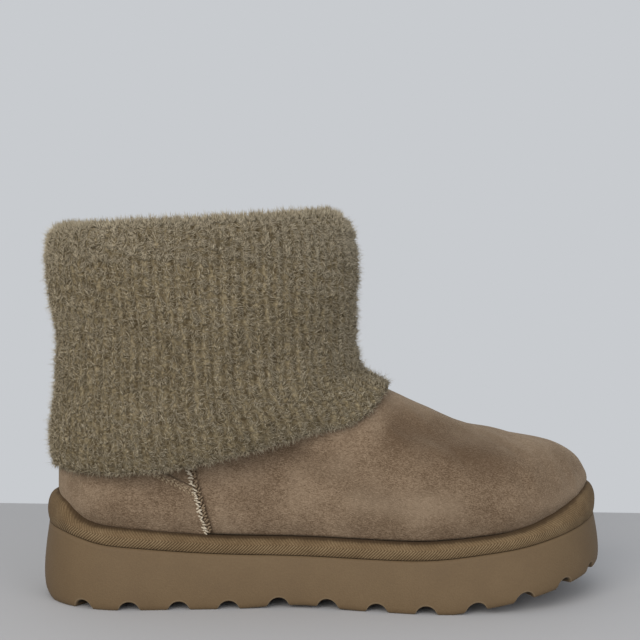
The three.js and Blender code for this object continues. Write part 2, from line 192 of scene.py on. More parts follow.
def mesh_object(name: str, points: Array, faces: Sequence[Array], uv: Array | None = None,
                period: float = 0.0, marks: dict[str, Array] | None = None) -> bpy.types.Object:
    """A smooth-shaded object at the origin from whole arrays.

    Args:
        name: the piece's name.
        points: (..., 3), in millimetres.
        faces: arrays of faces of three or four points, with the outside to the left of each edge.
        uv: (..., 2), a map value in millimetres for each point.
        period: where the map's first value starts again on a ring, or 0.
        marks: named values of 0 to 1 for each point, which the finishes read.

    Returns:
        The object, in the scene.
    """
    loops = np.concatenate([part.ravel() for part in faces])
    sizes = np.concatenate([np.full(len(part), part.shape[1]) for part in faces])
    points = points.reshape(-1, 3)
    mesh = bpy.data.meshes.new(name)
    mesh.vertices.add(len(points))
    mesh.vertices.foreach_set("co", (points * MM).astype(np.float32).ravel())
    mesh.loops.add(len(loops))
    mesh.loops.foreach_set("vertex_index", loops.astype(np.int32))
    mesh.polygons.add(len(sizes))
    starts = np.concatenate([[0], np.cumsum(sizes)[:-1]])
    mesh.polygons.foreach_set("loop_start", starts.astype(np.int32))
    mesh.polygons.foreach_set("use_smooth", np.ones(len(sizes), dtype=bool))
    mesh.update(calc_edges=True)
    if uv is not None:
        spread = uv.reshape(-1, 2)[loops].astype(float)
        if period:
            low = np.repeat(np.minimum.reduceat(spread[:, 0], starts), sizes)
            high = np.repeat(np.maximum.reduceat(spread[:, 0], starts), sizes)
            spread[:, 0] += period * ((high - low > period / 2) & (spread[:, 0] < period / 2))
        layer = mesh.uv_layers.new(name="piece")
        layer.uv.foreach_set("vector", (spread * MM).astype(np.float32).ravel())
    for mark, values in (marks or {}).items():
        attribute = mesh.attributes.new(mark, "FLOAT", "POINT")
        attribute.data.foreach_set("value", np.ravel(values).astype(np.float32))
    made = bpy.data.objects.new(name, mesh)
    bpy.context.scene.collection.objects.link(made)
    return made


def grid_faces(rows: int, columns: int, wrap_rows: bool, wrap_columns: bool) -> Array:
    """Four-sided faces over a grid of points whose rows go round a ring and stack upwards.

    Args:
        rows: how many rows of points.
        columns: how many points in each row.
        wrap_rows: whether the last row joins the first.
        wrap_columns: whether each row is a closed ring.

    Returns:
        Four point numbers for each face.
    """
    i = np.arange(rows if wrap_rows else rows - 1)
    j = np.arange(columns if wrap_columns else columns - 1)
    i, j = (part.ravel() for part in np.meshgrid(i, j, indexing="ij"))
    up, on = (i + 1) % rows, (j + 1) % columns
    return np.column_stack([i * columns + j, i * columns + on, up * columns + on, up * columns + j])


def ring_object(name: str, rings: Array, uv: Array | None = None, period: float = 0.0,
                marks: dict[str, Array] | None = None) -> bpy.types.Object:
    """A closed wall from rings (rows, columns, 3) that go up the outside and down the inside.

    Args:
        name: the piece's name.
        rings: (rows, columns, 3), in millimetres.
        uv: (rows, columns, 2), a map value in millimetres for each point.
        period: where the map's first value starts again, or 0.
        marks: named values of 0 to 1 for each point.

    Returns:
        The object, in the scene.
    """
    return mesh_object(name, rings, [grid_faces(*rings.shape[:2], True, True)], uv, period, marks)


def lidded_object(name: str, rings: Array, uv: Array | None = None, period: float = 0.0,
                  marks: dict[str, Array] | None = None) -> bpy.types.Object:
    """A closed solid from rings, lowest first, with a ladder of faces over each end.

    Args:
        name: the piece's name.
        rings: (rows, columns, 3), in millimetres.
        uv: (rows, columns, 2), a map value in millimetres for each point.
        period: where the map's first value starts again, or 0.
        marks: named values of 0 to 1 for each point.

    Returns:
        The object, in the scene.
    """
    rows, columns = rings.shape[:2]
    half, top = columns // 2, (rows - 1) * columns
    near = np.arange(1, half - 1)
    rungs = np.column_stack([near, near + 1, columns - near - 1, columns - near])
    tips = np.array([[0, 1, columns - 1], [half - 1, half, half + 1]])
    faces = [grid_faces(rows, columns, False, True), rungs[:, ::-1], rungs + top, tips[:, ::-1], tips + top]
    return mesh_object(name, rings, faces, uv, period, marks)


def shell_object(name: str, outer: Array, inner: Array,
                 marks: dict[str, Array] | None = None) -> bpy.types.Object:
    """A thin closed piece between two grids (rows, columns, 3) of the same size, stitched round the rim.

    Args:
        name: the piece's name.
        outer: the side that shows.
        inner: the side that lies on the boot.
        marks: named values of 0 to 1 for each point of a side.

    Returns:
        The object, in the scene.
    """
    rows, columns = outer.shape[:2]
    count = rows * columns
    top = grid_faces(rows, columns, False, False)
    index = np.arange(count).reshape(rows, columns)
    rim = np.concatenate([index[0], index[1:, -1], index[-1, -2::-1], index[-2:0:-1, 0]])
    on = np.roll(rim, -1)
    sides = np.column_stack([on, rim, rim + count, on + count])
    both = {mark: np.tile(np.ravel(values), 2) for mark, values in (marks or {}).items()}
    return mesh_object(name, np.stack([outer, inner]), [top, top[:, ::-1] + count, sides], marks=both)


def path_length(points: Array) -> Array:
    """Length of a path up to each of its points."""
    return np.concatenate([[0], np.cumsum(np.linalg.norm(np.diff(points, axis=0), axis=1))])


def on_path(places: Array, length: Array, values: Array) -> Array:
    """The values (n, 3) of a path's points at places along its length."""
    return np.stack([np.interp(places, length, values[:, i]) for i in range(3)], axis=1)


def ring_angles(curve: Callable[[Array], Array], count: int) -> tuple[Array, float]:
    """Angles at equal steps of length round a closed curve, and the curve's length.

    Args:
        curve: gives the points at angles.
        count: how many angles.

    Returns:
        The angles and the length.
    """
    fine = np.linspace(0, TAU, 6001)
    length = path_length(curve(fine))
    return np.interp(np.arange(count) * length[-1] / count, length, fine), float(length[-1])


def grid_normals(grid: Array, wrap_columns: bool = True) -> Array:
    """Outward normals of a grid: the way along a ring crossed with the way up the stack.

    Args:
        grid: (rows, columns, 3).
        wrap_columns: whether each row is a closed ring.

    Returns:
        Unit normals in the shape of the grid.
    """
    up = np.gradient(grid, axis=0)
    if wrap_columns:
        along = np.roll(grid, -1, axis=1) - np.roll(grid, 1, axis=1)
    else:
        along = np.gradient(grid, axis=1)
    return unit(np.cross(along, up))


def ellipsoids(centres: Array, long: Array, side: Array,
               radii: tuple[float, float, float]) -> tuple[Array, Array]:
    """Small closed beads, eight-sided and four rings high: points and three-sided faces.

    Args:
        centres: (n, 3) middle points.
        long: (n, 3) directions of the beads' length.
        side: (n, 3) directions of their width.
        radii: half length, half width and half height.

    Returns:
        Points and faces of all the beads together.
    """
    around, stack = 8, 4
    turn = np.arange(around) * TAU / around
    lift = math.pi * np.arange(1, stack + 1) / (stack + 1)
    ring = np.stack([
        np.repeat(-np.cos(lift), around),
        np.outer(np.sin(lift), np.cos(turn)).ravel(),
        np.outer(np.sin(lift), np.sin(turn)).ravel(),
    ], axis=1)
    shape = np.concatenate([ring, [[-1, 0, 0], [1, 0, 0]]]) * radii
    long = unit(long)
    side = unit(side - long * np.sum(side * long, axis=-1, keepdims=True))
    third = np.cross(long, side)
    points = (centres[:, None] + shape[None, :, 0:1] * long[:, None]
              + shape[None, :, 1:2] * side[:, None] + shape[None, :, 2:3] * third[:, None])
    quads = grid_faces(stack, around, False, True)
    walls = np.concatenate([quads[:, [0, 2, 1]], quads[:, [0, 3, 2]]])
    j = np.arange(around)
    on = (j + 1) % around
    base, tip = stack * around, stack * around + 1
    low = np.column_stack([j, on, np.full(around, base)])
    high = np.column_stack([on + (stack - 1) * around, j + (stack - 1) * around, np.full(around, tip)])
    one = np.concatenate([walls, low, high])
    faces = (one[None] + (np.arange(len(centres)) * len(shape))[:, None, None]).reshape(-1, 3)
    return points.reshape(-1, 3), faces


@dataclass
class Fibres:
    """Fine fibres that stand on a surface, all in one mesh.

    Each fibre is a thin closed spike on three corners: its root is three points round the foot, and its
    tip lies one length away along its lean.
    """

    seed: int
    roots: Array
    leans: Array
    lengths: Array
    widths: Array
    tones: Array

    def build(self, name: str) -> bpy.types.Object:
        """Makes the mesh, with marks for each fibre's tone and for the share of its length.

        Args:
            name: the piece's name.

        Returns:
            The object, in the scene.
        """
        rng = np.random.default_rng(self.seed)
        count = len(self.roots)
        way = unit(self.leans)
        side = unit(np.cross(way, rng.normal(size=(count, 3))))
        third = np.cross(way, side)
        half = (self.widths / 2)[:, None]
        turn = np.array([0, 1, 2]) * TAU / 3
        corners = [self.roots + half * (math.cos(t) * side + math.sin(t) * third) for t in turn]
        points = np.stack([*corners, self.roots + way * self.lengths[:, None]], axis=1)
        pattern = np.array([[0, 1, 3], [1, 2, 3], [2, 0, 3], [0, 2, 1]])
        faces = (pattern[None] + (np.arange(count) * 4)[:, None, None]).reshape(-1, 3)
        marks = {"tone": np.repeat(self.tones, 4), "along": np.tile([0.0, 0.0, 0.0, 1.0], count)}
        return mesh_object(name, points, [faces], marks=marks)


def sprinkle(grid: Array, weight: Array, count: int, rng: np.random.Generator) -> dict[str, Array]:
    """Random places on a grid surface, as many to each square millimetre as its weight says.

    Args:
        grid: (rows, columns, 3), with columns going round a closed ring.
        weight: (rows, columns) relative density.
        count: how many places.
        rng: the random numbers.

    Returns:
        points, normals, up (the direction of rising rows), row and column (as real numbers).
    """
    nxt = np.roll(grid, -1, axis=1)
    cells = np.linalg.norm(np.cross(nxt[:-1] - grid[:-1], grid[1:] - grid[:-1]), axis=-1) * weight[:-1]
    sums = np.cumsum(cells.ravel())
    pick = np.searchsorted(sums, rng.uniform(0, sums[-1], count))
    row, column = np.divmod(pick, grid.shape[1])
    u, v = rng.uniform(0, 1, (2, count))
    on = (column + 1) % grid.shape[1]
    normals = grid_normals(grid)

    def blend(values: Array) -> Array:
        """The values of the grid's points, mixed to each place inside its cell."""
        low = mix(values[row, column], values[row, on], u[:, None])
        return mix(low, mix(values[row + 1, column], values[row + 1, on], u[:, None]), v[:, None])

    up = unit(np.gradient(grid, axis=0))
    return {"points": blend(grid), "normals": unit(blend(normals)), "up": unit(blend(up)),
            "row": row + v, "column": column + u}


# ---- The boot's shape ---------------------------------------------------------------------------------


class Side(Enum):
    """The two sides of the boot, with the sign of Y on each."""

    OUTER = -1
    INNER = 1


class LastForm:
    """The boot's shape as functions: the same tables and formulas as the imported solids, in millimetres."""

    LENGTH = 277.0
    HEEL_END = -LENGTH / 2
    TOE_END = LENGTH / 2
    HEEL_CAP = 45.0
    TOE_CAP = 56.0
    TOE_SWING = 9.0
    SWING_START = 55.0
    ARCH_LIFT = 1.5
    ARCH_CENTRE = -12.0
    ARCH_REACH = 34.0
    TOE_SPRING = 15.0
    SPRING_START = 60.0
    SPRING_POWER = 1.15
    HEEL_ROUND = 8.0
    GAP = 0.35
    WELT_INSET = 9.2
    WALL = 5.0
    SHAFT_BREADTH = 45.5
    CUFF_CLEAR = 2.2
    CUFF_THIN = 2.4
    CUFF_NEAR = 14.0
    PUSH_START = -60.0
    PUSH_WAY = (0.15, 1.0, 0.15)
    PUSH_ROUNDS = 3
    THROAT_LEVELS = (6.0, 12.0)
    THROAT_STEPS = (100, 91)
    SEAM_FOOT = (-55.4, 34.0)
    SEAM_HEAD = (-65.2, 69.4)

    SOLE_PLAN = Table("x outer inner", [
        [-139, 42.0, 40.0], [-95, 42.4, 40.0], [-50, 40.0, 36.6], [-12, 38.4, 34.6],
        [18, 43.6, 39.6], [50, 50.0, 48.6], [80, 50.0, 50.6], [139, 49.6, 50.6],
    ])
    SIDE_LINES = Table("x wall feather", [
        [-139, 36.2, 43.8], [-129.5, 35.2, 41.7], [-120, 33.4, 40.0], [-108, 31.0, 38.9],
        [-95, 29.7, 38.1], [-50, 26.1, 34.2], [10, 24.5, 32.8], [50, 25.1, 33.1], [90, 29.7, 37.1],
        [115, 34.1, 42.6], [139, 39.2, 49.0],
    ])
    END_RISE = Table("x rise", [
        [-139, 8.2], [-129.5, 6.6], [-126, 4.5], [-120, 1.7], [-112, 0.3], [-104, 0], [95, 0], [112, 0.8],
        [124, 2.2], [131, 4.0], [139, 5.6],
    ])
    RISE_FADE = 2.0
    UPPER_RINGS = Table("level backX backZ frontX frontZ sag plump shaft backCap frontCap", [
        [-128.6, 44, 130.2, 48.8, 1, 0, 0, 42, 54],
        [-129.6, 50, 132.2, 54.4, 0.9, 2.6, 0, 42, 55],
        [-129.9, 55, 130.6, 62, 0.78, 3.4, 0, 43, 58],
        [-129.9, 60, 125.2, 70.2, 0.64, 3, 0.04, 43, 64],
        [-129.8, 65, 114, 77.4, 0.5, 1.8, 0.1, 44, 74],
        [-129.6, 70, 98, 81.4, 0.38, 0.8, 0.18, 45, 86],
        [-129.3, 76, 81, 84.2, 0.28, 0, 0.28, 46, 96],
        [-129, 82, 65, 88, 0.2, 0, 0.4, 48, 102],
        [-128.5, 88, 49.5, 94.2, 0.13, 0, 0.54, 50, 100],
        [-128, 95, 35, 99.9, 0.07, 0, 0.68, 53, 94],
        [-127.5, 103, 21.5, 104.6, 0.03, 0, 0.81, 57, 84],
        [-127, 112, 10.5, 111, 0, 0, 0.92, 62, 74],
        [-126.5, 122, 5.6, 120, 0, 0, 1, 65, 68],
        [-126, 136, 4, 135, 0, 0, 1, 65, 65],
        [-126, 150, 4, 150, 0, 0, 1, 65, 65],
    ])
    HEM_LINE = Table("x z", [
        [-140, 66], [-100, 66], [-60, 70.2], [-10, 82.6], [14, 89], [26, 94.4], [36, 102.2],
    ])
    CUFF_RINGS = Table("level backX backZ frontX frontZ half backCap frontCap", [
        [-135.1, 66, 33, 100.2, 50, 56, 88],
        [-135.4, 80, 29.2, 108, 51.5, 60, 84],
        [-133.6, 98, 19.8, 115, 52.4, 66, 80],
        [-132, 118, 16.6, 126, 53.2, 71.5, 77],
        [-132.6, 136, 16.4, 139, 54, 74.4, 74.4],
        [-135.8, 150, 17, 152, 55, 76.4, 76.4],
        [-136.7, 164, 16.8, 166, 55.2, 76.7, 76.7],
        [-135.8, 175, 14.6, 179.2, 54, 75.2, 75.2],
        [-132.6, 181.4, 9.4, 187, 50.4, 71, 71],
        [-128.2, 183.4, 3.8, 189.2, 46, 66, 66],
    ])
    COUNTER_TOP = Table("x z", [
        [-140, 76], [-108, 74.4], [-92, 71], [-78.3, 66.2], [-62.1, 58.4],
    ])

    @staticmethod
    def side_values(angle: Array, outer: Array, inner: Array) -> Array:
        """The outer side's value where the ring runs along the outer side, and the inner side's elsewhere."""
        return np.where(np.sin(angle) >= 0, outer, inner)

    @staticmethod
    def sign(angle: Array) -> Array:
        """The sign of Y at an angle."""
        return np.where(np.sin(angle) >= 0, -1.0, 1.0)

    def centre_line(self, x: Array) -> Array:
        """Y of the centre line: straight from the heel, then swinging inwards as a square."""
        along = np.maximum((x - self.SWING_START) / (self.TOE_END - self.SWING_START), 0)
        return self.TOE_SWING * along * along

    def tread_height(self, x: Array) -> Array:
        """The tread's height: a cosine arch, a power curve at the toe and a quarter circle at the heel.

        Args:
            x: places along the boot.

        Returns:
            Heights over the floor.
        """
        reach = np.clip((x - self.ARCH_CENTRE) / self.ARCH_REACH, -1, 1)
        arch = self.ARCH_LIFT * np.cos(reach * math.pi / 2) ** 2
        ahead = np.maximum((x - self.SPRING_START) / (self.TOE_END - self.SPRING_START), 0)
        back = np.clip((self.HEEL_END + self.HEEL_ROUND - x) / self.HEEL_ROUND, 0, 1)
        round_back = self.HEEL_ROUND * (1 - np.sqrt(1 - back * back))
        return arch + self.TOE_SPRING * ahead ** self.SPRING_POWER + round_back

    def wall_height(self, x: Array) -> Array:
        """Where the outsole's wall ends."""
        return self.SIDE_LINES.at(x, "wall")

    def feather_height(self, x: Array) -> Array:
        """Where the upper meets the wrapped midsole: the side line plus its climb at both ends."""
        return self.SIDE_LINES.at(x, "feather") + self.END_RISE.at(x, "rise")

    def plan(self, angle: Array) -> Array:
        """The sole's widest outline in plan: the half breadth times the rounding of both ends.

        Args:
            angle: place round the ring.

        Returns:
            X and Y of the outline.
        """
        x = mix(self.HEEL_END, self.TOE_END, (1 - np.cos(angle)) / 2)
        ends = round_end(x - self.HEEL_END, self.HEEL_CAP) * round_end(self.TOE_END - x, self.TOE_CAP)
        breadth = self.side_values(angle, self.SOLE_PLAN.at(x, "outer"), self.SOLE_PLAN.at(x, "inner"))
        return np.stack([x, self.centre_line(x) + self.sign(angle) * breadth * ends], axis=-1)

    def inset_plan(self, angle: Array, inset: Array | float) -> Array:
        """The same outline moved in by an inset, square to the outline.

        Args:
            angle: place round the ring.
            inset: how far inwards.

        Returns:
            X and Y of the inset outline.
        """
        step = 0.01
        along = unit(self.plan(angle + step) - self.plan(angle - step))
        inward = np.stack([-along[..., 1], along[..., 0]], axis=-1)
        return self.plan(angle) + inward * np.asarray(inset)[..., None]

    def ring_ends(self, ring: Table, level: Array, x: Array) -> Array:
        """The rounding of both ends of a ring at a place along it."""
        back = round_end(x - ring.at(level, "backX"), ring.at(level, "backCap"))
        return back * round_end(ring.at(level, "frontX") - x, ring.at(level, "frontCap"))

    def upper(self, level: Array, angle: Array) -> Array:
        """A point of the upper's outside.

        A ring leans from its back to its front point, keeps part of the feather line's dip, and its half
        breadth goes from the sole's outline to the shaft's oval, rounded off at both ends.

        Args:
            level: place between the rows of its table.
            angle: place round the ring.

        Returns:
            Points (..., 3).
        """
        ring = self.UPPER_RINGS
        level, angle = np.broadcast_arrays(np.clip(level, 0, ring.last), angle)
        share = (1 - np.cos(angle)) / 2
        x = mix(ring.at(level, "backX"), ring.at(level, "frontX"), share)
        first = {name: column[0] for name, column in ring.values.items()}
        flat_share = (x - first["backX"]) / (first["frontX"] - first["backX"])
        dip = self.SIDE_LINES.at(x, "feather") - mix(first["backZ"], first["frontZ"], flat_share)
        climb = np.clip(1 - level / self.RISE_FADE, 0, 1) * self.END_RISE.at(x, "rise")
        z = mix(ring.at(level, "backZ"), ring.at(level, "frontZ"), share) + ring.at(level, "sag") * dip
        z = z + climb
        sole = self.side_values(angle, self.SOLE_PLAN.at(x, "outer"), self.SOLE_PLAN.at(x, "inner"))
        foot = sole - self.WELT_INSET + ring.at(level, "plump")
        half = mix(foot, self.SHAFT_BREADTH, ring.at(level, "shaft")) * self.ring_ends(ring, level, x)
        return np.stack([x, self.centre_line(x) + self.sign(angle) * half, z + self.GAP], axis=-1)

    def upper_normal(self, level: Array, angle: Array) -> Array:
        """The upper's outward normal.

        Args:
            level: place between the rows of its table.
            angle: place round the ring.

        Returns:
            Unit normals (..., 3).
        """
        step, top = 0.02, self.UPPER_RINGS.last
        above, below = np.minimum(level + step, top), np.maximum(level - step, 0)
        rise = self.upper(above, angle) - self.upper(below, angle)
        along = self.upper(level, angle + step) - self.upper(level, angle - step)
        return unit(np.cross(along, rise))

    def off_upper(self, level: Array, angle: Array, lift: Array | float) -> Array:
        """A point that lies a lift off the upper's outside, along its normal."""
        return self.upper(level, angle) + self.upper_normal(level, angle) * lift

    def cuff(self, level: Array, angle: Array) -> Array:
        """A point of the cuff's outside. Its lowest rings follow the hem line.

        Args:
            level: place between the rows of its table.
            angle: place round the ring.

        Returns:
            Points (..., 3).
        """
        ring = self.CUFF_RINGS
        level, angle = np.broadcast_arrays(level, angle)
        share = (1 - np.cos(angle)) / 2
        x = mix(ring.at(level, "backX"), ring.at(level, "frontX"), share)
        first = {name: column[0] for name, column in ring.values.items()}
        dip = self.HEM_LINE.at(x, "z") - mix(first["backZ"], first["frontZ"], share)
        z = mix(ring.at(level, "backZ"), ring.at(level, "frontZ"), share) + dip * np.clip(1 - level / 5, 0, 1)
        half = ring.at(level, "half") * self.ring_ends(ring, level, x)
        return np.stack([x, self.sign(angle) * half, z], axis=-1)

    def off_vamp(self, points: Array) -> Array:
        """Pushes rows of cuff points out, mostly sideways, until each clears the vamp.

        The nearest point of a shell that lies the cuff's gap and thickness off the upper gives the way
        out, and the push is the depth under that shell, divided by how square it stands to it.

        Args:
            points: (rows, columns, 3) on the cuff.

        Returns:
            The points, pushed clear.
        """
        high, wide = self.THROAT_STEPS
        level, angle = np.meshgrid(np.linspace(*self.THROAT_LEVELS, high),
                                   math.pi * np.linspace(0.5, 1.5, wide), indexing="ij")
        out = self.upper_normal(level, angle).reshape(-1, 3)
        shell = self.upper(level, angle).reshape(-1, 3) + out * (self.CUFF_CLEAR + self.CUFF_THIN)
        pushed = points.copy()
        for row in pushed:
            front = np.flatnonzero(row[:, 0] > self.PUSH_START)
            for _ in range(self.PUSH_ROUNDS):
                gaps = np.linalg.norm(shell[None] - row[front, None], axis=-1)
                near = gaps.argmin(axis=1)
                depth = np.maximum(np.sum((shell[near] - row[front]) * out[near], axis=-1), 0)
                depth *= gaps.min(axis=1) < self.CUFF_NEAR
                way = unit(out[near] * self.PUSH_WAY)
                row[front] += way * (depth / np.sum(way * out[near], axis=-1))[:, None]
        return pushed

    def seam_x(self, z: Array) -> Array:
        """X of the side seam at a height: a straight line that leans back."""
        (foot_x, foot_z), (head_x, head_z) = self.SEAM_FOOT, self.SEAM_HEAD
        return foot_x + (head_x - foot_x) * (z - foot_z) / (head_z - foot_z)

    def seam_angle(self, level: Array) -> Array:
        """The angle at which each level crosses the side seam, found on a fine scale of angles.

        Args:
            level: place between the upper's rings.

        Returns:
            An angle for each level.
        """
        angles = np.linspace(0.3, 2.2, 400)
        point = self.upper(np.asarray(level)[..., None], angles)
        past = point[..., 0] > self.seam_x(point[..., 2])
        return angles[np.argmax(past, axis=-1)]


FORM = LastForm()


# ---- Finishes -----------------------------------------------------------------------------------------


def linear(code: str) -> tuple[float, float, float, float]:
    """An sRGB hex colour as linear light: a power curve with a straight foot.

    Args:
        code: the colour as #rrggbb.

    Returns:
        Red, green, blue and a full alpha.
    """
    parts = [int(code[i:i + 2], 16) / 255 for i in (1, 3, 5)]
    red, green, blue = (p / 12.92 if p <= 0.04045 else ((p + 0.055) / 1.055) ** 2.4 for p in parts)
    return red, green, blue, 1.0


def add_node(tree: bpy.types.NodeTree, kind: str, inputs: dict[Any, Any] | None = None,
             stops: Sequence[tuple[float, str]] = (), **settings: Any) -> bpy.types.Node:
    """Adds a node with its settings, values and links, and a ramp's colours.

    Args:
        tree: the node tree.
        kind: the node's type.
        inputs: socket name or number to a value, or to the output that it is linked to.
        stops: a ramp's places and their sRGB hex colours.
        settings: the node's own properties.

    Returns:
        The node.
    """
    made = tree.nodes.new(kind)
    for name, value in settings.items():
        setattr(made, name, value)
    for name, value in (inputs or {}).items():
        if isinstance(value, bpy.types.NodeSocket):
            tree.links.new(value, made.inputs[name])
        else:
            made.inputs[name].default_value = value
    if stops:
        elements = made.color_ramp.elements
        while len(elements) < len(stops):
            elements.new(0.5)
        for element, (place, code) in zip(elements, stops):
            element.position = place
            element.color = linear(code)
    return made


def blotches(place: bpy.types.NodeSocket, size: float, detail: float = 2,
             rough: float = 0.5) -> dict[str, Any]:
    """A noise node's inputs for blotches about a size in millimetres across.

    Args:
        place: the coordinates it reads.
        size: the blotches' size.
        detail: how many finer layers it has.
        rough: how strong they are.

    Returns:
        Socket names and their values.
    """
    return {"Vector": place, "Scale": 1 / (size * MM), "Detail": detail, "Roughness": rough}


class Finish:
    """Shared steps of all finishes."""

    def start(self, name: str) -> tuple[bpy.types.Material, bpy.types.NodeTree]:
        """A material with an empty node tree.

        Args:
            name: the finish's name.

        Returns:
            The material and its tree.
        """
        made = bpy.data.materials.new(name)
        made.use_nodes = True
        made.node_tree.nodes.clear()
        return made, made.node_tree

    def sums(self, tree: bpy.types.NodeTree, parts: Sequence[tuple[Any, float]], start: float = 0.0) -> Any:
        """The start value plus each part times its factor.

        Args:
            tree: the node tree.
            parts: outputs or numbers, each with its factor.
            start: the start value.

        Returns:
            The sum's output.
        """
        total: Any = start
        for part, factor in parts:
            total = add_node(tree, MATH, {0: part, 1: factor, 2: total},
                             operation="MULTIPLY_ADD").outputs[0]
        return total

    def marked(self, tree: bpy.types.NodeTree, colour: Any, marks: Sequence[tuple[str, str]]) -> Any:
        """A colour mixed towards others by the marks on the piece's points.

        Args:
            tree: the node tree.
            colour: the colour to start from.
            marks: each mark's name and its full colour.

        Returns:
            The last colour's output.
        """
        for name, code in marks:
            share = add_node(tree, "ShaderNodeAttribute", attribute_name=name).outputs["Fac"]
            colour = add_node(tree, "ShaderNodeMix", {0: share, 6: colour, 7: linear(code)},
                              data_type="RGBA").outputs[2]
        return colour

    def close(self, made: bpy.types.Material, colour: Any, height: Any, depth: float,
              shader: dict[str, Any]) -> bpy.types.Material:
        """Ends a material with its bump, in millimetres of relief, its shader and its output.

        Args:
            made: the material.
            colour: its colour.
            height: its relief, 0 to 1.
            depth: how deep the full relief is, in millimetres.
            shader: values for the shader's other sockets.

        Returns:
            The material.
        """
        tree = made.node_tree
        relief = add_node(tree, "ShaderNodeBump", {"Height": height, "Distance": depth * MM, "Strength": 1.0})
        surface = add_node(tree, "ShaderNodeBsdfPrincipled", {
            "Base Color": colour, "Normal": relief.outputs[0], **shader})
        add_node(tree, "ShaderNodeOutputMaterial", {0: surface.outputs[0]})
        return made


@dataclass(frozen=True)
class Suede(Finish):
    """Taupe cow suede, split and sanded: a short nap that lies in patches, with no shine."""

    dark: str = "#534333"
    body: str = "#6d5c4a"
    light: str = "#877561"
    # Darkening colour of the shade mark: painted shade in the seam grooves and at the joints, and darker
    # patches.
    crease: str = "#3f2d1d"
    # Lightening colour of the rub mark: wear, with painted highlight on the raised ridges.
    rub_and_highlight: str = "#8f7e6a"

    def make(self) -> bpy.types.Material:
        """Nap fibres of 0.45 by 1.2 mm, combed downwards and forwards, over specks and patches of 26 mm.

        Marks darken the seam grooves, the joints and some patches with painted shade, and lighten the
        ridges with wear and painted highlight.

        Returns:
            The material.
        """
        made, tree = self.start("cow suede, sanded")
        place = add_node(tree, "ShaderNodeTexCoord").outputs["Object"]
        combed = add_node(tree, "ShaderNodeMapping", {
            "Vector": place, "Rotation": (0.0, math.radians(38), 0.0), "Scale": (0.42, 1.0, 1.15)}).outputs[0]
        nap = add_node(tree, NOISE, blotches(combed, 0.5, 2, 0.6)).outputs["Fac"]
        fine = add_node(tree, NOISE, blotches(place, 0.45, 2, 0.6)).outputs["Fac"]
        specks = add_node(tree, NOISE, blotches(place, 3.2, 3, 0.6)).outputs["Fac"]
        patches = add_node(tree, NOISE, blotches(place, 26, 2, 0.5)).outputs["Fac"]
        value = self.sums(tree, [(nap, 1.3), (fine, 1.1), (specks, 0.4), (patches, 0.6)], -1.2)
        colour = add_node(tree, RAMP, {0: value}, [
            (0.2, self.dark), (0.5, self.body), (0.8, self.light)]).outputs["Color"]
        colour = self.marked(tree, colour, [("rub", self.rub_and_highlight), ("shade", self.crease)])
        height = self.sums(tree, [(nap, 0.5), (fine, 0.2), (specks, 0.3)])
        return self.close(made, colour, height, 0.8, {
            "Roughness": 0.95, "Specular IOR Level": 0.15, "IOR": 1.45, "Sheen Weight": 0.35,
            "Sheen Roughness": 0.5, "Sheen Tint": linear("#cbb9a0"),
        })


@dataclass(frozen=True)
class Foam(Finish):
    """Moulded EVA foam: matt, with the faint pebble of the mould and a little chalky bloom."""

    body: str = "#5e4c34"
    bloom: str = "#69573e"
    dull: str = "#54432e"
    worn: str = "#7c6b54"
    # Painted shade inside the outsole's notches, mixed in by the shade mark.
    notch_shade: str = "#1d160e"

    def make(self) -> bpy.types.Material:
        """Grain of 0.8 mm, drawn coarser than the mould's real 0.3 mm, over soft clouds of 18 mm.

        Returns:
            The material.
        """
        made, tree = self.start("moulded EVA foam")
        place = add_node(tree, "ShaderNodeTexCoord").outputs["Object"]
        pebble = add_node(tree, NOISE, blotches(place, 0.8, 2, 0.6)).outputs["Fac"]
        clouds = add_node(tree, NOISE, blotches(place, 18, 3, 0.55)).outputs["Fac"]
        value = self.sums(tree, [(pebble, 0.3), (clouds, 0.3)], 0.2)
        colour = add_node(tree, RAMP, {0: value}, [
            (0.25, self.dull), (0.5, self.body), (0.78, self.bloom)]).outputs["Color"]
        colour = self.marked(tree, colour, [("rub", self.worn), ("shade", self.notch_shade)])
        return self.close(made, colour, pebble, 0.12, {
            "Roughness": 0.72, "Specular IOR Level": 0.35, "IOR": 1.5})


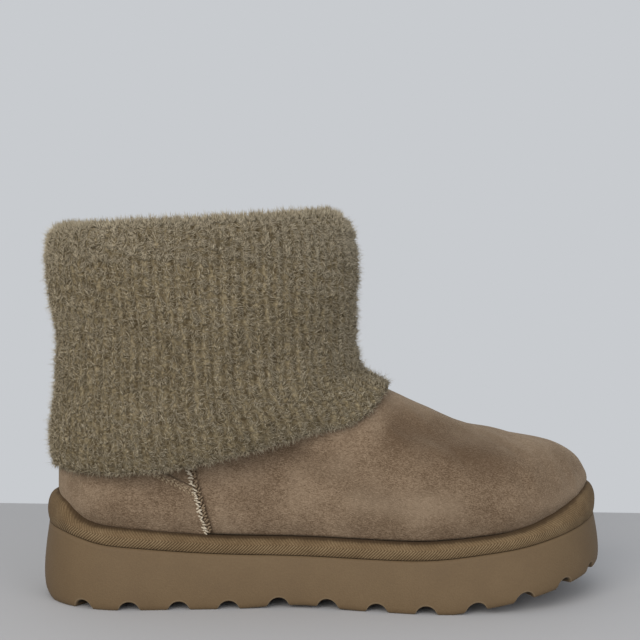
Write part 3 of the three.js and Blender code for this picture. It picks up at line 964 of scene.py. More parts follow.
@dataclass(frozen=True)
class Tape(Finish):
    """Woven cotton herringbone tape round the midsole: two rows of slanting ribs with a dull surface."""

    ground: str = "#4a3b27"
    body: str = "#614f38"
    light: str = "#816f54"
    # Painted shade along the tape's edges, where it meets the sole and the suede.
    edge: str = "#3a2c1d"
    pitch: float = 1.5
    middle: float = 5.2

    def make(self) -> bpy.types.Material:
        """Ribs are a sine of the place along plus or minus the height, turned over at the tape's middle.

        They stand less than half as strong on the upper half, where the tape is pulled tight over the edge.

        Returns:
            The material.
        """
        made, tree = self.start("herringbone cotton tape")
        where = add_node(tree, "ShaderNodeUVMap", uv_map="piece").outputs[0]
        split = add_node(tree, "ShaderNodeSeparateXYZ", {0: where})
        along, high = split.outputs[0], split.outputs[1]
        place = add_node(tree, "ShaderNodeTexCoord").outputs["Object"]
        fold = add_node(tree, MATH, {0: high, 1: self.middle * MM}, operation="SUBTRACT").outputs[0]
        height = add_node(tree, MATH, {0: fold}, operation="ABSOLUTE").outputs[0]
        wander = add_node(tree, NOISE, blotches(place, 9, 1)).outputs["Fac"]
        slant = self.sums(tree, [(height, 1.0), (wander, 0.5 * MM)], 0.0)
        slant = add_node(tree, MATH, {0: slant, 1: along}, operation="ADD").outputs[0]
        ribs = self.sums(tree, [(slant, TAU / (self.pitch * MM))])
        ribs = add_node(tree, MATH, {0: ribs}, operation="SINE").outputs[0]
        upper_half = add_node(tree, MATH, {0: fold, 1: 0.0}, operation="GREATER_THAN").outputs[0]
        strength = self.sums(tree, [(upper_half, -0.6)], 1.0)
        ribs = add_node(tree, MATH, {0: ribs, 1: strength}, operation="MULTIPLY").outputs[0]
        fuzz = add_node(tree, NOISE, blotches(place, 0.7, 2, 0.6)).outputs["Fac"]
        clouds = add_node(tree, NOISE, blotches(place, 12, 2)).outputs["Fac"]
        value = self.sums(tree, [(ribs, 0.2), (fuzz, 0.4), (clouds, 0.3)], 0.15)
        colour = add_node(tree, RAMP, {0: value}, [
            (0.25, self.ground), (0.5, self.body), (0.75, self.light)]).outputs["Color"]
        colour = self.marked(tree, colour, [("shade", self.edge)])
        relief = self.sums(tree, [(ribs, 0.35), (fuzz, 0.5)])
        return self.close(made, colour, relief, 0.35, {
            "Roughness": 0.9, "Specular IOR Level": 0.2, "IOR": 1.45})


@dataclass(frozen=True)
class Plush(Finish):
    """Short plush pile of the lining and the insole: soft curls of 2 mm, with painted shade in the depth."""

    # Painted shade where the curls sink.
    deep: str = "#655a49"
    body: str = "#85796a"
    light: str = "#a3987f"

    def make(self) -> bpy.types.Material:
        """Curls of 2 mm over clouds of 14 mm.

        Returns:
            The material.
        """
        made, tree = self.start("plush pile")
        place = add_node(tree, "ShaderNodeTexCoord").outputs["Object"]
        curls = add_node(tree, NOISE, blotches(place, 2.0, 3, 0.65)).outputs["Fac"]
        clouds = add_node(tree, NOISE, blotches(place, 14, 2)).outputs["Fac"]
        value = self.sums(tree, [(curls, 1.1), (clouds, 0.4)], -0.25)
        colour = add_node(tree, RAMP, {0: value}, [
            (0.3, self.deep), (0.5, self.body), (0.75, self.light)]).outputs["Color"]
        return self.close(made, colour, curls, 1.2, {
            "Roughness": 0.95, "Specular IOR Level": 0.12, "IOR": 1.45, "Sheen Weight": 0.3,
            "Sheen Roughness": 0.5, "Sheen Tint": linear("#c4b8a0")})


@dataclass(frozen=True)
class Knit(Finish):
    """Brushed rib knit: wool loops under a raised fluff, with painted shade in the gaps between the loops."""

    # Painted shade between the loops and in the furrows between the ribs.
    gap: str = "#453b2a"
    body: str = "#736851"
    light: str = "#93876d"

    def make(self) -> bpy.types.Material:
        """Loops of 1.5 mm and tufts of 4.5 mm, with painted shade where the loops sink.

        A mark paints shade into the furrows between the ribs.

        Returns:
            The material.
        """
        made, tree = self.start("brushed rib knit")
        place = add_node(tree, "ShaderNodeTexCoord").outputs["Object"]
        loops = add_node(tree, NOISE, blotches(place, 1.5, 3, 0.65)).outputs["Fac"]
        tufts = add_node(tree, NOISE, blotches(place, 4.5, 2)).outputs["Fac"]
        value = self.sums(tree, [(loops, 1.2), (tufts, 0.5)], -0.35)
        colour = add_node(tree, RAMP, {0: value}, [
            (0.3, self.gap), (0.52, self.body), (0.8, self.light)]).outputs["Color"]
        colour = self.marked(tree, colour, [("shade", self.gap)])
        return self.close(made, colour, loops, 1.0, {
            "Roughness": 0.95, "Specular IOR Level": 0.12, "IOR": 1.45, "Sheen Weight": 0.2,
            "Sheen Roughness": 0.5, "Sheen Tint": linear("#b9ad92")})


@dataclass(frozen=True)
class Fluff(Finish):
    """Loose wool fibres: painted shade at the root, paler at the tip."""

    name: str
    # Painted shade at the roots, deep in the fluff.
    root: str
    low: str
    high: str

    def make(self) -> bpy.types.Material:
        """The fibre's tone picks its body colour, and the share of its length clears the root's shade.

        Returns:
            The material.
        """
        made, tree = self.start(self.name)
        tone, along = (add_node(tree, "ShaderNodeAttribute", attribute_name=name).outputs["Fac"]
                       for name in ("tone", "along"))
        body = add_node(tree, RAMP, {0: tone}, [(0.0, self.low), (1.0, self.high)]).outputs["Color"]
        clear = add_node(tree, MATH, {0: along, 1: 0.62}, operation="POWER").outputs[0]
        colour = add_node(tree, "ShaderNodeMix", {0: clear, 6: linear(self.root), 7: body},
                          data_type="RGBA").outputs[2]
        surface = add_node(tree, "ShaderNodeBsdfPrincipled", {
            "Base Color": colour, "Roughness": 0.85, "Specular IOR Level": 0.15, "IOR": 1.5,
            "Sheen Weight": 0.15, "Sheen Roughness": 0.5, "Sheen Tint": linear("#cfc3aa")})
        add_node(tree, "ShaderNodeOutputMaterial", {0: surface.outputs[0]})
        return made


@dataclass(frozen=True)
class Thread(Finish):
    """Spun polyester overlock thread: two twisted strands with a faint sheen."""

    body: str
    shade: str

    def make(self) -> bpy.types.Material:
        """Twist as bands of 0.5 mm, drawn coarser than the thread's real 0.2 mm.

        Returns:
            The material.
        """
        made, tree = self.start("spun polyester thread")
        place = add_node(tree, "ShaderNodeTexCoord").outputs["Object"]
        twist = add_node(tree, NOISE, blotches(place, 0.5, 2, 0.6)).outputs["Fac"]
        colour = add_node(tree, RAMP, {0: twist}, [(0.35, self.shade), (0.6, self.body)]).outputs["Color"]
        return self.close(made, colour, twist, 0.25, {
            "Roughness": 0.8, "Specular IOR Level": 0.25, "IOR": 1.5})


class Slot(Enum):
    """The record's material slots."""

    FOAM = "outsole_foam"
    TAPE = "wrap_tape"
    PLUSH = "plush_lining"
    SUEDE = "suede"
    KNIT = "brushed_knit"
    THREAD = "overlock_thread"


def hand_over(piece: bpy.types.Object, finish: bpy.types.Material, slot: Slot, *nodes: str) -> None:
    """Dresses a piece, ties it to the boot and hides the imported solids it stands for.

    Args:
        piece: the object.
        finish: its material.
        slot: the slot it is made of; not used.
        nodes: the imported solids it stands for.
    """
    piece.data.materials.append(finish)
    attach(piece, "root")
    if nodes:
        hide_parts(*nodes)
    LOG.info("%s: %d faces", piece.name, len(piece.data.polygons))


# ---- Pieces -------------------------------------------------------------------------------------------


@dataclass
class Outsole:
    """Moulded sole with round notches along the foot of its wall and a lightly ribbed tread."""

    notch_count: int = 28
    notch_radius: float = 5.2
    notch_drop: float = 1.0
    notch_reach: float = 15.0
    notch_phase: float = 0.99
    heel_plain: float = -125.0
    groove_steps: int = 17
    flat_steps: int = 12
    bevel: float = 0.55
    rib_pitch: float = 8.0
    rib_depth: float = 0.9
    wall: Table = field(default_factory=lambda: Table("share inset", [
        [0, 1.2], [0.07, 0.2], [0.3, 0], [0.65, 0.9], [1, 2.5]]))

    def columns(self) -> tuple[Array, Array]:
        """Angles of the grid's columns and each column's groove height.

        In each notch the columns turn evenly round its circle, so the height above the tread is the
        circle's own height less the drop of its axis. Its corners are eased by the bevel. The heel's
        edge has none.

        Returns:
            The angles and the groove heights.
        """
        fine = np.linspace(0, TAU, 8001)
        length = path_length(FORM.plan(fine))
        pitch = length[-1] / self.notch_count
        open_turn = math.acos(self.notch_drop / self.notch_radius)
        turn = np.linspace(-open_turn, open_turn, self.groove_steps)
        groove = self.notch_radius * np.sin(turn)
        height = self.notch_radius * np.cos(turn) - self.notch_drop
        height[[0, -1]] = self.bevel
        corner = self.notch_radius * math.sin(open_turn) + self.bevel
        flat = np.linspace(corner, pitch - corner, self.flat_steps)
        offsets = np.concatenate([groove, flat])
        heights = np.concatenate([height, np.zeros(self.flat_steps)])
        middles = (np.arange(self.notch_count) + self.notch_phase) * pitch
        plain = FORM.plan(np.interp(middles % length[-1], length, fine))[:, 0] < self.heel_plain
        heights = np.where(plain[:, None], 0.0, heights).ravel()
        places = (middles[:, None] + offsets).ravel() % length[-1]
        order = np.argsort(places)
        return np.interp(places[order], length, fine), heights[order]

    def build(self) -> None:
        """Makes the sole: tread, grooves, wall and a flat top, as rings from the tread's middle upwards."""
        angle, groove = self.columns()
        x_edge = FORM.plan(angle)[:, 0]
        tread, top = FORM.tread_height(x_edge), FORM.wall_height(x_edge)
        tall = top - tread
        rings, rubs, notch_shades = [], [], []

        def add(plan: Array, z: Array, rub: Any = 0.0, notch_shade: Any = 0.0) -> None:
            """Adds a ring and its marks.

            Args:
                plan: the ring in plan.
                z: its heights.
                rub: how worn it is, 0 to 1.
                notch_shade: how much painted shade it takes, 0 to 1.
            """
            rings.append(np.concatenate([plan, z[:, None]], axis=1))
            rubs.append(np.broadcast_to(rub, angle.shape))
            notch_shades.append(np.broadcast_to(notch_shade, angle.shape))

        rim = FORM.inset_plan(angle, self.notch_reach + 0.4)
        middle = (rim + rim[(len(angle) - np.arange(len(angle))) % len(angle)]) / 2
        for share in (0.96, 0.86, 0.76, 0.66, 0.56, 0.46, 0.36, 0.26, 0.16, 0.08):
            flat = mix(rim, middle, share)
            ribs = np.sin((flat[:, 0] + 0.5 * np.abs(flat[:, 1])) * TAU / self.rib_pitch)
            add(flat, FORM.tread_height(flat[:, 0]) + self.rib_depth * smooth(ribs, -0.2, 0.5))
        add(rim, tread)
        # Painted shade inside the notches, darkest where they cut deepest.
        deep = 0.9 * smooth(groove, 0.2, 2.4)
        for inset in (self.notch_reach, 12.0, 9.0, 6.0, 4.0, 2.6):
            add(FORM.inset_plan(angle, inset), tread + groove, 0.0, deep)
        edge = self.wall.at(groove / tall, "inset")
        add(FORM.inset_plan(angle, edge + self.bevel * 0.8), tread + groove, 0.3)
        low = np.minimum(groove + self.bevel * np.where(groove > 0.3, 1.0, 0.6), tall) / tall
        for i, step in enumerate(np.linspace(0, 1, 20) ** 1.25):
            level = mix(low, 1.0, step)
            rub = 0.5 * (i == 0) * (groove > 0.3) + 0.15 * (i == 0)
            wave = 0.12 * waves(x_edge, level * 30 + angle * 9, 30, 5)
            add(FORM.inset_plan(angle, self.wall.at(level, "inset") - wave), tread + level * tall, rub)
        add(FORM.inset_plan(angle, 6.0), top)
        piece = lidded_object("outsole_body", np.stack(rings),
                              marks={"rub": np.stack(rubs), "shade": np.stack(notch_shades)})
        hand_over(piece, Foam().make(), Slot.FOAM, "outsole")


@dataclass
class Midsole:
    """The sole's top layer under its woven tape: a soft bulge that tucks in at both edges."""

    columns: int = 620
    rows: int = 30
    bulge: Table = field(default_factory=lambda: Table("share inset", [
        [0, 2.7], [0.16, 2.1], [0.42, 1.9], [0.68, 2.5], [0.88, 4.1], [1, 7.0]]))

    def build(self) -> None:
        """Makes the wrapped band: the bulge's inset over its height, wavy by a third of a millimetre."""
        angle, length = ring_angles(FORM.plan, self.columns)
        x = FORM.plan(angle)[:, 0]
        low, high = FORM.wall_height(x) + FORM.GAP, FORM.feather_height(x)
        along = np.arange(self.columns) * length / self.columns
        rings = [np.concatenate([FORM.inset_plan(angle, 8.0), low[:, None]], axis=1)]
        shades, climbs = [np.ones(x.shape)], [np.full(x.shape, -4.0)]
        tall = high - low
        for share in np.linspace(0, 1, self.rows):
            ripple = 0.3 * waves(along, share * 9, 26, 11) + 0.14 * waves(along, share * 9, 7, 12)
            ripple *= math.sin(math.pi * min(share, 0.9))
            plan = FORM.inset_plan(angle, self.bulge.at(share, "inset") - ripple)
            rings.append(np.concatenate([plan, (low + share * tall)[:, None]], axis=1))
            wobble = 0.5 * waves(along, 0 * along, 5, 14)
            # Painted shade at the tape's foot, by the outsole, and at its head, under the suede; the
            # turned-in end rings are fully shaded.
            foot = 1 - smooth(share * tall, 0.1, 0.5)
            head = smooth(share * tall - tall + wobble * 0.3, -0.9, -0.2)
            shades.append(np.clip(0.7 * foot + 0.75 * head, 0, 1))
            climbs.append(share * tall + 0.6)
        rings.append(np.concatenate([FORM.inset_plan(angle, 12.0), high[:, None]], axis=1))
        shades.append(np.ones(x.shape))
        climbs.append(tall + 5)
        uv = np.stack([np.stack([along, climb], axis=1) for climb in climbs])
        piece = lidded_object("wrapped_midsole", np.stack(rings), uv, length, {"shade": np.stack(shades)})
        hand_over(piece, Tape().make(), Slot.TAPE, "midsole")


@dataclass
class Insole:
    """The plush footbed, laid inside the upper."""

    thickness: float = 4.5
    columns: int = 260

    def build(self) -> None:
        """Makes the footbed: a rounded edge, then rings towards the centre line under random curls."""
        inset = FORM.WELT_INSET + FORM.WALL + 2
        angle, _ = ring_angles(FORM.plan, self.columns)
        rings = []

        def add(plan: Array, above: float, curl: float) -> None:
            """Adds a ring that follows the feather line.

            Args:
                plan: the ring in plan.
                above: its height over the feather line.
                curl: how high its pile's curls stand.
            """
            base = FORM.feather_height(plan[:, 0]) + FORM.GAP
            pile = curl * waves(plan[:, 0], plan[:, 1], 4.5, 21)
            rings.append(np.concatenate([plan, (base + above + pile)[:, None]], axis=1))

        edge = FORM.inset_plan(angle, inset)
        for shift, above in ((1.2, 0.0), (0.2, 0.8), (0.0, 2.2), (0.5, 3.6)):
            add(FORM.inset_plan(angle, inset + shift), above, 0.0)
        middle = (edge + edge[(self.columns - np.arange(self.columns)) % self.columns]) / 2
        for share in np.linspace(0.06, 0.97, 20):
            add(mix(edge, middle, share), self.thickness - 0.3, 0.3)
        hand_over(lidded_object("insole_plush", np.stack(rings)), Plush().make(), Slot.PLUSH, "insole")


@dataclass(frozen=True)
class Crease:
    """A soft trough or ridge laid on the suede, as a line in the boot's side view.

    A positive height is a ridge. Its ends fade out over the first and last fifth of the line.
    """

    line: tuple[tuple[float, float], ...]
    height: float
    width: float
    sides: tuple[Side, ...] = (Side.OUTER, Side.INNER)

    def relief(self, points: Array) -> Array:
        """The crease's bell-shaped relief at points, in millimetres.

        Args:
            points: (..., 3) on the suede.

        Returns:
            The relief at each point.
        """
        gap, share = polyline_distance(points[..., 0], points[..., 2], self.line)
        ends = smooth(np.minimum(share, 1 - share), 0.0, 0.2)
        side = sum(smooth(points[..., 1] * item.value, -4, 12) for item in self.sides)
        return self.height * bump(gap, self.width) * ends * np.clip(side, 0, 1)


# Troughs and ridges of the worn-in vamp, from the throat to the toe.
CREASES = (
    Crease(((30, 90), (44, 83), (58, 80), (70, 84)), -0.9, 3.2),
    Crease(((34, 97), (48, 90), (62, 87), (76, 88)), 0.8, 4.0),
    Crease(((8, 84), (26, 74), (44, 70), (60, 73)), -0.7, 3.6),
    Crease(((0, 78), (16, 66), (34, 58), (52, 56)), 0.7, 6.0),
    Crease(((-20, 76), (-6, 62), (12, 52), (32, 48)), -0.6, 5.0),
    Crease(((62, 78), (76, 72), (92, 70)), 0.7, 5.0),
    Crease(((70, 66), (86, 60), (100, 62)), -0.5, 5.0),
    Crease(((-44, 70), (-38, 58), (-34, 46)), 0.5, 5.0),
    Crease(((96, 52), (110, 52), (122, 58)), -0.4, 4.0),
)

# Here the height is a tone: lighter patches lie above zero and darker ones below.
# The light line along the top of the instep, over its ridge, is a painted highlight.
PATCHES = (
    Crease(((24, 86), (42, 82), (66, 76), (98, 66)), -0.5, 9.0),
    Crease(((4, 53), (40, 49), (72, 51)), 0.4, 7.0),
    Crease(((30, 100), (44, 95), (58, 91)), 0.3, 5.0),
    Crease(((74, 87), (96, 80), (116, 70)), 0.25, 4.5),
    Crease(((-50, 66), (-30, 70), (-6, 78)), -0.16, 5.0),
    Crease(((84, 62), (92, 60), (104, 62)), -0.12, 4.0),
    Crease(((-20, 60), (0, 66), (20, 72)), 0.15, 7.0),
)


@dataclass
class Upper:
    """The suede body: vamp and shaft in one, with its side seams and a plush lining."""

    columns: int = 660
    fine_rows: int = 84
    skin: float = 1.4

    def seam(self, points: Array) -> tuple[Array, Array]:
        """Relief and shade of the side seams: a groove ahead of the stitches and a soft swell beyond it.

        Args:
            points: (..., 3) on the suede.

        Returns:
            The relief and the shade at each point.
        """
        x, y, z = points[..., 0], points[..., 1], points[..., 2]
        ahead = x - FORM.seam_x(z)
        side = smooth(np.abs(y), 16, 26) * (1 - smooth(z, 84, 94))
        groove = -0.8 * bump(ahead - 2.6, 1.3)
        swell = 1.1 * bump(ahead - 10, 6.5)
        behind = -0.15 * (1 - smooth(ahead, -3, 0))
        # The shade is painted shade in the groove ahead of the stitches.
        return (groove + swell + behind) * side, 0.75 * bump(ahead - 2.4, 1.0) * side

    def dress(self, points: Array, normals: Array, level: Array) -> tuple[Array, dict[str, Array]]:
        """Moves the suede along its normals by creases, seam and slow waves, and marks rub and shade.

        The rub mark lightens with wear and painted highlight on the ridges; the shade mark darkens towards
        the front and in patches, and with painted shade in the seam groove and where the suede tucks in.

        Args:
            points: (rows, columns, 3) on the last.
            normals: their normals.
            level: their levels.

        Returns:
            The moved points and their marks.
        """
        relief, shade = self.seam(points)
        x, y, z = points[..., 0], points[..., 1], points[..., 2]
        front = smooth(x - FORM.seam_x(z), 2, 12)
        for crease in CREASES:
            relief = relief + crease.relief(points) * front
        slow = 0.45 * waves(x, z * 1.2 + y, 34, 31) + 0.25 * waves(x + y, z, 15, 32)
        relief = relief + slow * front
        relief = np.where(relief < 0, -1.05 * np.tanh(-relief / 1.05), relief)
        under_cuff = 1 - smooth(level, 9.5, 10.5)
        foot = FORM.feather_height(x) + FORM.GAP
        wobble = 0.25 * waves(x * 1.5, y, 5, 33)
        # Painted shade along the suede's foot, where it tucks into the midsole.
        tuck_shade = 1 - smooth(z - foot + wobble, 0.1, 1.3)
        shade = np.clip(shade + 0.75 * tuck_shade, 0, 1)
        # Lighter on the raised ridges, wear with painted highlight, and lighter at random.
        rub = np.clip(0.2 * smooth(relief, 0.5, 1.8) + 0.1 * waves(x, y + z, 22, 34), 0, 0.3)
        rub = np.maximum(rub, 0.3 * bump(z - foot - 7, 5) * smooth(x, 96, 118))
        # Darker towards the front of the vamp, less so at the toe.
        shade = shade + 0.17 * smooth(x, -30, 70) * (1 - 0.6 * smooth(x, 112, 134))
        for patch in PATCHES:
            tone = patch.relief(points)
            rub = rub + np.maximum(tone, 0)
            shade = shade + np.maximum(-tone, 0)
        rub, shade = np.clip(rub, 0, 1), np.clip(shade, 0, 1)
        moved = points + normals * (relief * under_cuff * smooth(z - foot, -0.5, 2.0))[..., None]
        return moved, {"rub": rub, "shade": shade}

    def build(self) -> None:
        """Makes the suede skin and the lining inside it."""
        top = FORM.UPPER_RINGS.last
        angle, _ = ring_angles(lambda a: FORM.upper(2.0, a), self.columns)
        levels = np.concatenate([np.linspace(0, 9.6, self.fine_rows), np.linspace(10, top, 9)])
        level = levels[:, None] * np.ones(self.columns)
        outer = FORM.upper(level, angle)
        normals = grid_normals(outer)
        skin, marks = self.dress(outer, normals, level)
        back = np.linspace(top, 0, 16)[:, None] * np.ones(self.columns)
        inner = FORM.off_upper(back, angle, -self.skin)
        inner[..., 2] = np.where(back > 13.9, outer[-1, :, 2], inner[..., 2])
        rings = np.concatenate([skin, inner])
        full = {mark: np.concatenate([values, np.zeros(back.shape)]) for mark, values in marks.items()}
        piece = ring_object("upper_suede", rings, marks=full)
        hand_over(piece, Suede().make(), Slot.SUEDE, "upper")
        self.build_lining()

    def build_lining(self) -> None:
        """Makes the plush wall: its back lies on the suede and its pile waves by a millimetre."""
        columns, top = 300, FORM.UPPER_RINGS.last
        angle, _ = ring_angles(lambda a: FORM.upper(2.0, a), columns)
        up = np.linspace(0.2, top, 14)[:, None] * np.ones(columns)
        down = np.linspace(top, 0.2, 56)[:, None] * np.ones(columns)
        outer = FORM.off_upper(up, angle, -self.skin - 0.2)
        base = FORM.upper(down, angle)
        pile = 0.45 * waves(base[..., 0] + base[..., 1], base[..., 2], 5, 41)
        inner = FORM.off_upper(down, angle, -(FORM.WALL - 0.2 + pile)[..., None])
        outer[-1, :, 2] = inner[0, :, 2] = FORM.upper(top, angle)[:, 2]
        piece = ring_object("upper_lining", np.concatenate([outer, inner]))
        hand_over(piece, Plush().make(), Slot.PLUSH)


@dataclass
class HeelCounter:
    """The suede heel patch between the two side seams, with two rows of stitches under its top edge."""

    columns: int = 300
    rows: int = 52
    clear: float = 0.3
    proud: float = 1.45
    stitch_drop: float = 2.5
    stitch_pitch: float = 1.15

    def top_levels(self, share: Array) -> Array:
        """The level where each column reaches the patch's top line, searched on a fine scale of levels.

        Args:
            share: each column's share of the way to the seam, -1 to 1.

        Returns:
            A level for each column.
        """
        levels = np.linspace(0.2, 8, 300)
        angle = share[:, None] * FORM.seam_angle(levels)
        point = FORM.upper(levels, angle)
        return levels[np.argmax(point[..., 2] > FORM.COUNTER_TOP.at(point[..., 0], "z"), axis=1)]

    def build(self) -> None:
        """Makes the patch: its edge rolls over to the suede, and a ridge follows the stitch line."""
        share = np.linspace(-1, 1, self.columns)
        top = self.top_levels(np.where(share == 0, 1e-3, share))
        rise = np.linspace(0, 1, self.rows)[:, None]
        level = rise * top
        angle = share * FORM.seam_angle(level) % TAU
        base, normal = FORM.upper(level, angle), FORM.upper_normal(level, angle)
        from_top = FORM.upper(top * np.ones_like(level), angle)[..., 2] - base[..., 2]
        seam_gap = np.abs(base[..., 0] - FORM.seam_x(base[..., 2]))
        edge = np.minimum(from_top, seam_gap + 0.25)
        roll = np.sqrt(1 - np.clip(1 - edge / 1.4, 0, 1) ** 2)
        ridge = 0.5 * bump(from_top - 1.2, 0.9) - 0.45 * bump(from_top - self.stitch_drop, 0.6)
        x, y, z = np.moveaxis(base, -1, 0)
        slow = 0.22 * waves(x + y, z, 20, 51) + 0.12 * waves(x - y, z, 9, 52)
        height = mix(self.clear + 0.1, self.proud, roll) + (ridge + slow) * roll
        outer = base + normal * height[..., None]
        inner = base + normal * self.clear
        tuck_shade = 1 - smooth(z - FORM.feather_height(x) - FORM.GAP, 0.1, 1.3)
        # Painted shade along the top edge, where it tucks into the midsole and in the stitch groove.
        shade = np.clip(0.75 * bump(from_top, 0.7) + 0.8 * tuck_shade
                        + 0.35 * bump(from_top - self.stitch_drop, 0.6), 0, 1)
        # Lighter on the ridge under the top edge, wear with painted highlight, and at random.
        rub = np.clip(0.25 * bump(from_top - 1.3, 0.8) + 0.15 * waves(x, y + z, 18, 53), 0, 0.5)
        piece = shell_object("heel_counter_suede", outer, inner, {"rub": rub, "shade": shade})
        hand_over(piece, Suede().make(), Slot.SUEDE, "heel_counter")
        self.build_stitches(share, top)

    def build_stitches(self, share: Array, top: Array) -> None:
        """Makes the stitches: curls that swing up and down along a line a little below the top edge.

        Args:
            share: each column's share of the way to the seam, -1 to 1.
            top: the level of the top edge at each.
        """
        levels = np.linspace(0.1, 8, 400)
        angle = share[:, None] * FORM.seam_angle(levels)
        z = FORM.upper(levels, angle)[..., 2]
        end = np.take_along_axis(z, np.searchsorted(levels, top)[:, None].clip(0, 399), axis=1)
        for number, drop in enumerate((self.stitch_drop - 0.4, self.stitch_drop + 1.3)):
            level = levels[np.argmax(z > end - drop, axis=1)]
            around = (share * FORM.seam_angle(level)) % TAU
            self.curls(FORM.off_upper(level, around, self.proud + 0.15), number)

    def curls(self, line: Array, number: int) -> None:
        """Makes one row of curls along a line of points.

        Args:
            line: the points of the line.
            number: the row's number.
        """
        length = path_length(line)
        rng = np.random.default_rng(54 + number)
        places = np.arange(1.0, length[-1] - 1.0, self.stitch_pitch)
        places = places + rng.normal(0, 0.12, len(places))
        centres = on_path(places, length, line)
        ahead = on_path(places + 0.5, length, line) - centres
        swing = np.where(np.arange(len(places)) % 2, 1.0, -1.0)[:, None]
        up = np.array([[0, 0, 1.0]]) + 0 * centres
        centres = centres + up * swing * 0.55 + rng.normal(0, 0.12, centres.shape)
        points, faces = ellipsoids(centres, unit(ahead) + up * swing * 0.9, up, (0.9, 0.42, 0.5))
        piece = mesh_object(f"heel_counter_curls_{number + 1}", points, [faces])
        hand_over(piece, Thread("#a3927a", "#67573f").make(), Slot.THREAD)


@dataclass(frozen=True)
class StitchRow:
    """A row of overlock beads: its place beside the seam, the beads' slant and sizes, and its thread.

    It stands proud of the suede and settles towards it by an amount on its way up.
    """

    name: str
    shift: float
    slant: float
    half_length: float
    half_width: float
    proud: float
    settle: float
    thread: Thread


@dataclass
class SideSeams:
    """The overlocked side seams: thread wraps and puckered curls that lie across from sole to cuff."""

    pitch: float = 1.02
    top_level: float = 9.0
    slant_spread: float = 0.55
    lean_back: float = 1.2
    zigzag: float = 0.35
    rows: tuple[StitchRow, ...] = (
        StitchRow("wraps", -0.3, -0.75, 1.15, 0.46, 1.25, 0.0, Thread("#c9beaa", "#8b7e69")),
        StitchRow("curls", 1.7, 0.5, 0.9, 0.5, 1.05, 0.6, Thread("#86755f", "#5f4f3d")),
    )

    def line(self, side: Side) -> tuple[Array, Array, Array]:
        """Points of the seam at even steps, with the normal and the way up the seam at each.

        Args:
            side: the side of the boot.

        Returns:
            The points, the normals and the way up.
        """
        level = np.linspace(0.1, self.top_level, 300)
        angle = -side.value * FORM.seam_angle(level) % TAU
        point, normal = FORM.upper(level, angle), FORM.upper_normal(level, angle)
        length = path_length(point)
        places = np.arange(0.4, length[-1], self.pitch)
        even = on_path(places, length, point)
        return even, unit(on_path(places, length, normal)), unit(np.gradient(even, axis=0))

    def build(self) -> None:
        """Makes both rows on both sides: pale wraps behind, and puckered taupe curls ahead of them.

        Each bead is turned, sized and shifted a little, as a machine leaves them.
        """
        for side, seed in ((Side.OUTER, 61), (Side.INNER, 62)):
            rng = np.random.default_rng(seed)
            point, normal, up = self.line(side)
            ahead = unit(np.cross(up, normal)) * -side.value
            climb = np.linspace(0, 1, len(point))[:, None]
            for row in self.rows:
                way = unit(ahead + up * rng.normal(row.slant, self.slant_spread, len(up))[:, None])
                lift = row.proud - row.settle * climb
                centre = point + normal * lift + ahead * (row.shift + self.lean_back * climb)
                centre = centre + rng.normal(0, 0.2, point.shape)
                centre = centre + ahead * self.zigzag * np.where(np.arange(len(up)) % 2, 1, -1)[:, None]
                points, faces = ellipsoids(centre, way, up, (row.half_length, row.half_width, 0.5))
                piece = mesh_object(f"seam_{row.name}_{side.name.lower()}", points, [faces])
                hand_over(piece, row.thread.make(), Slot.THREAD)


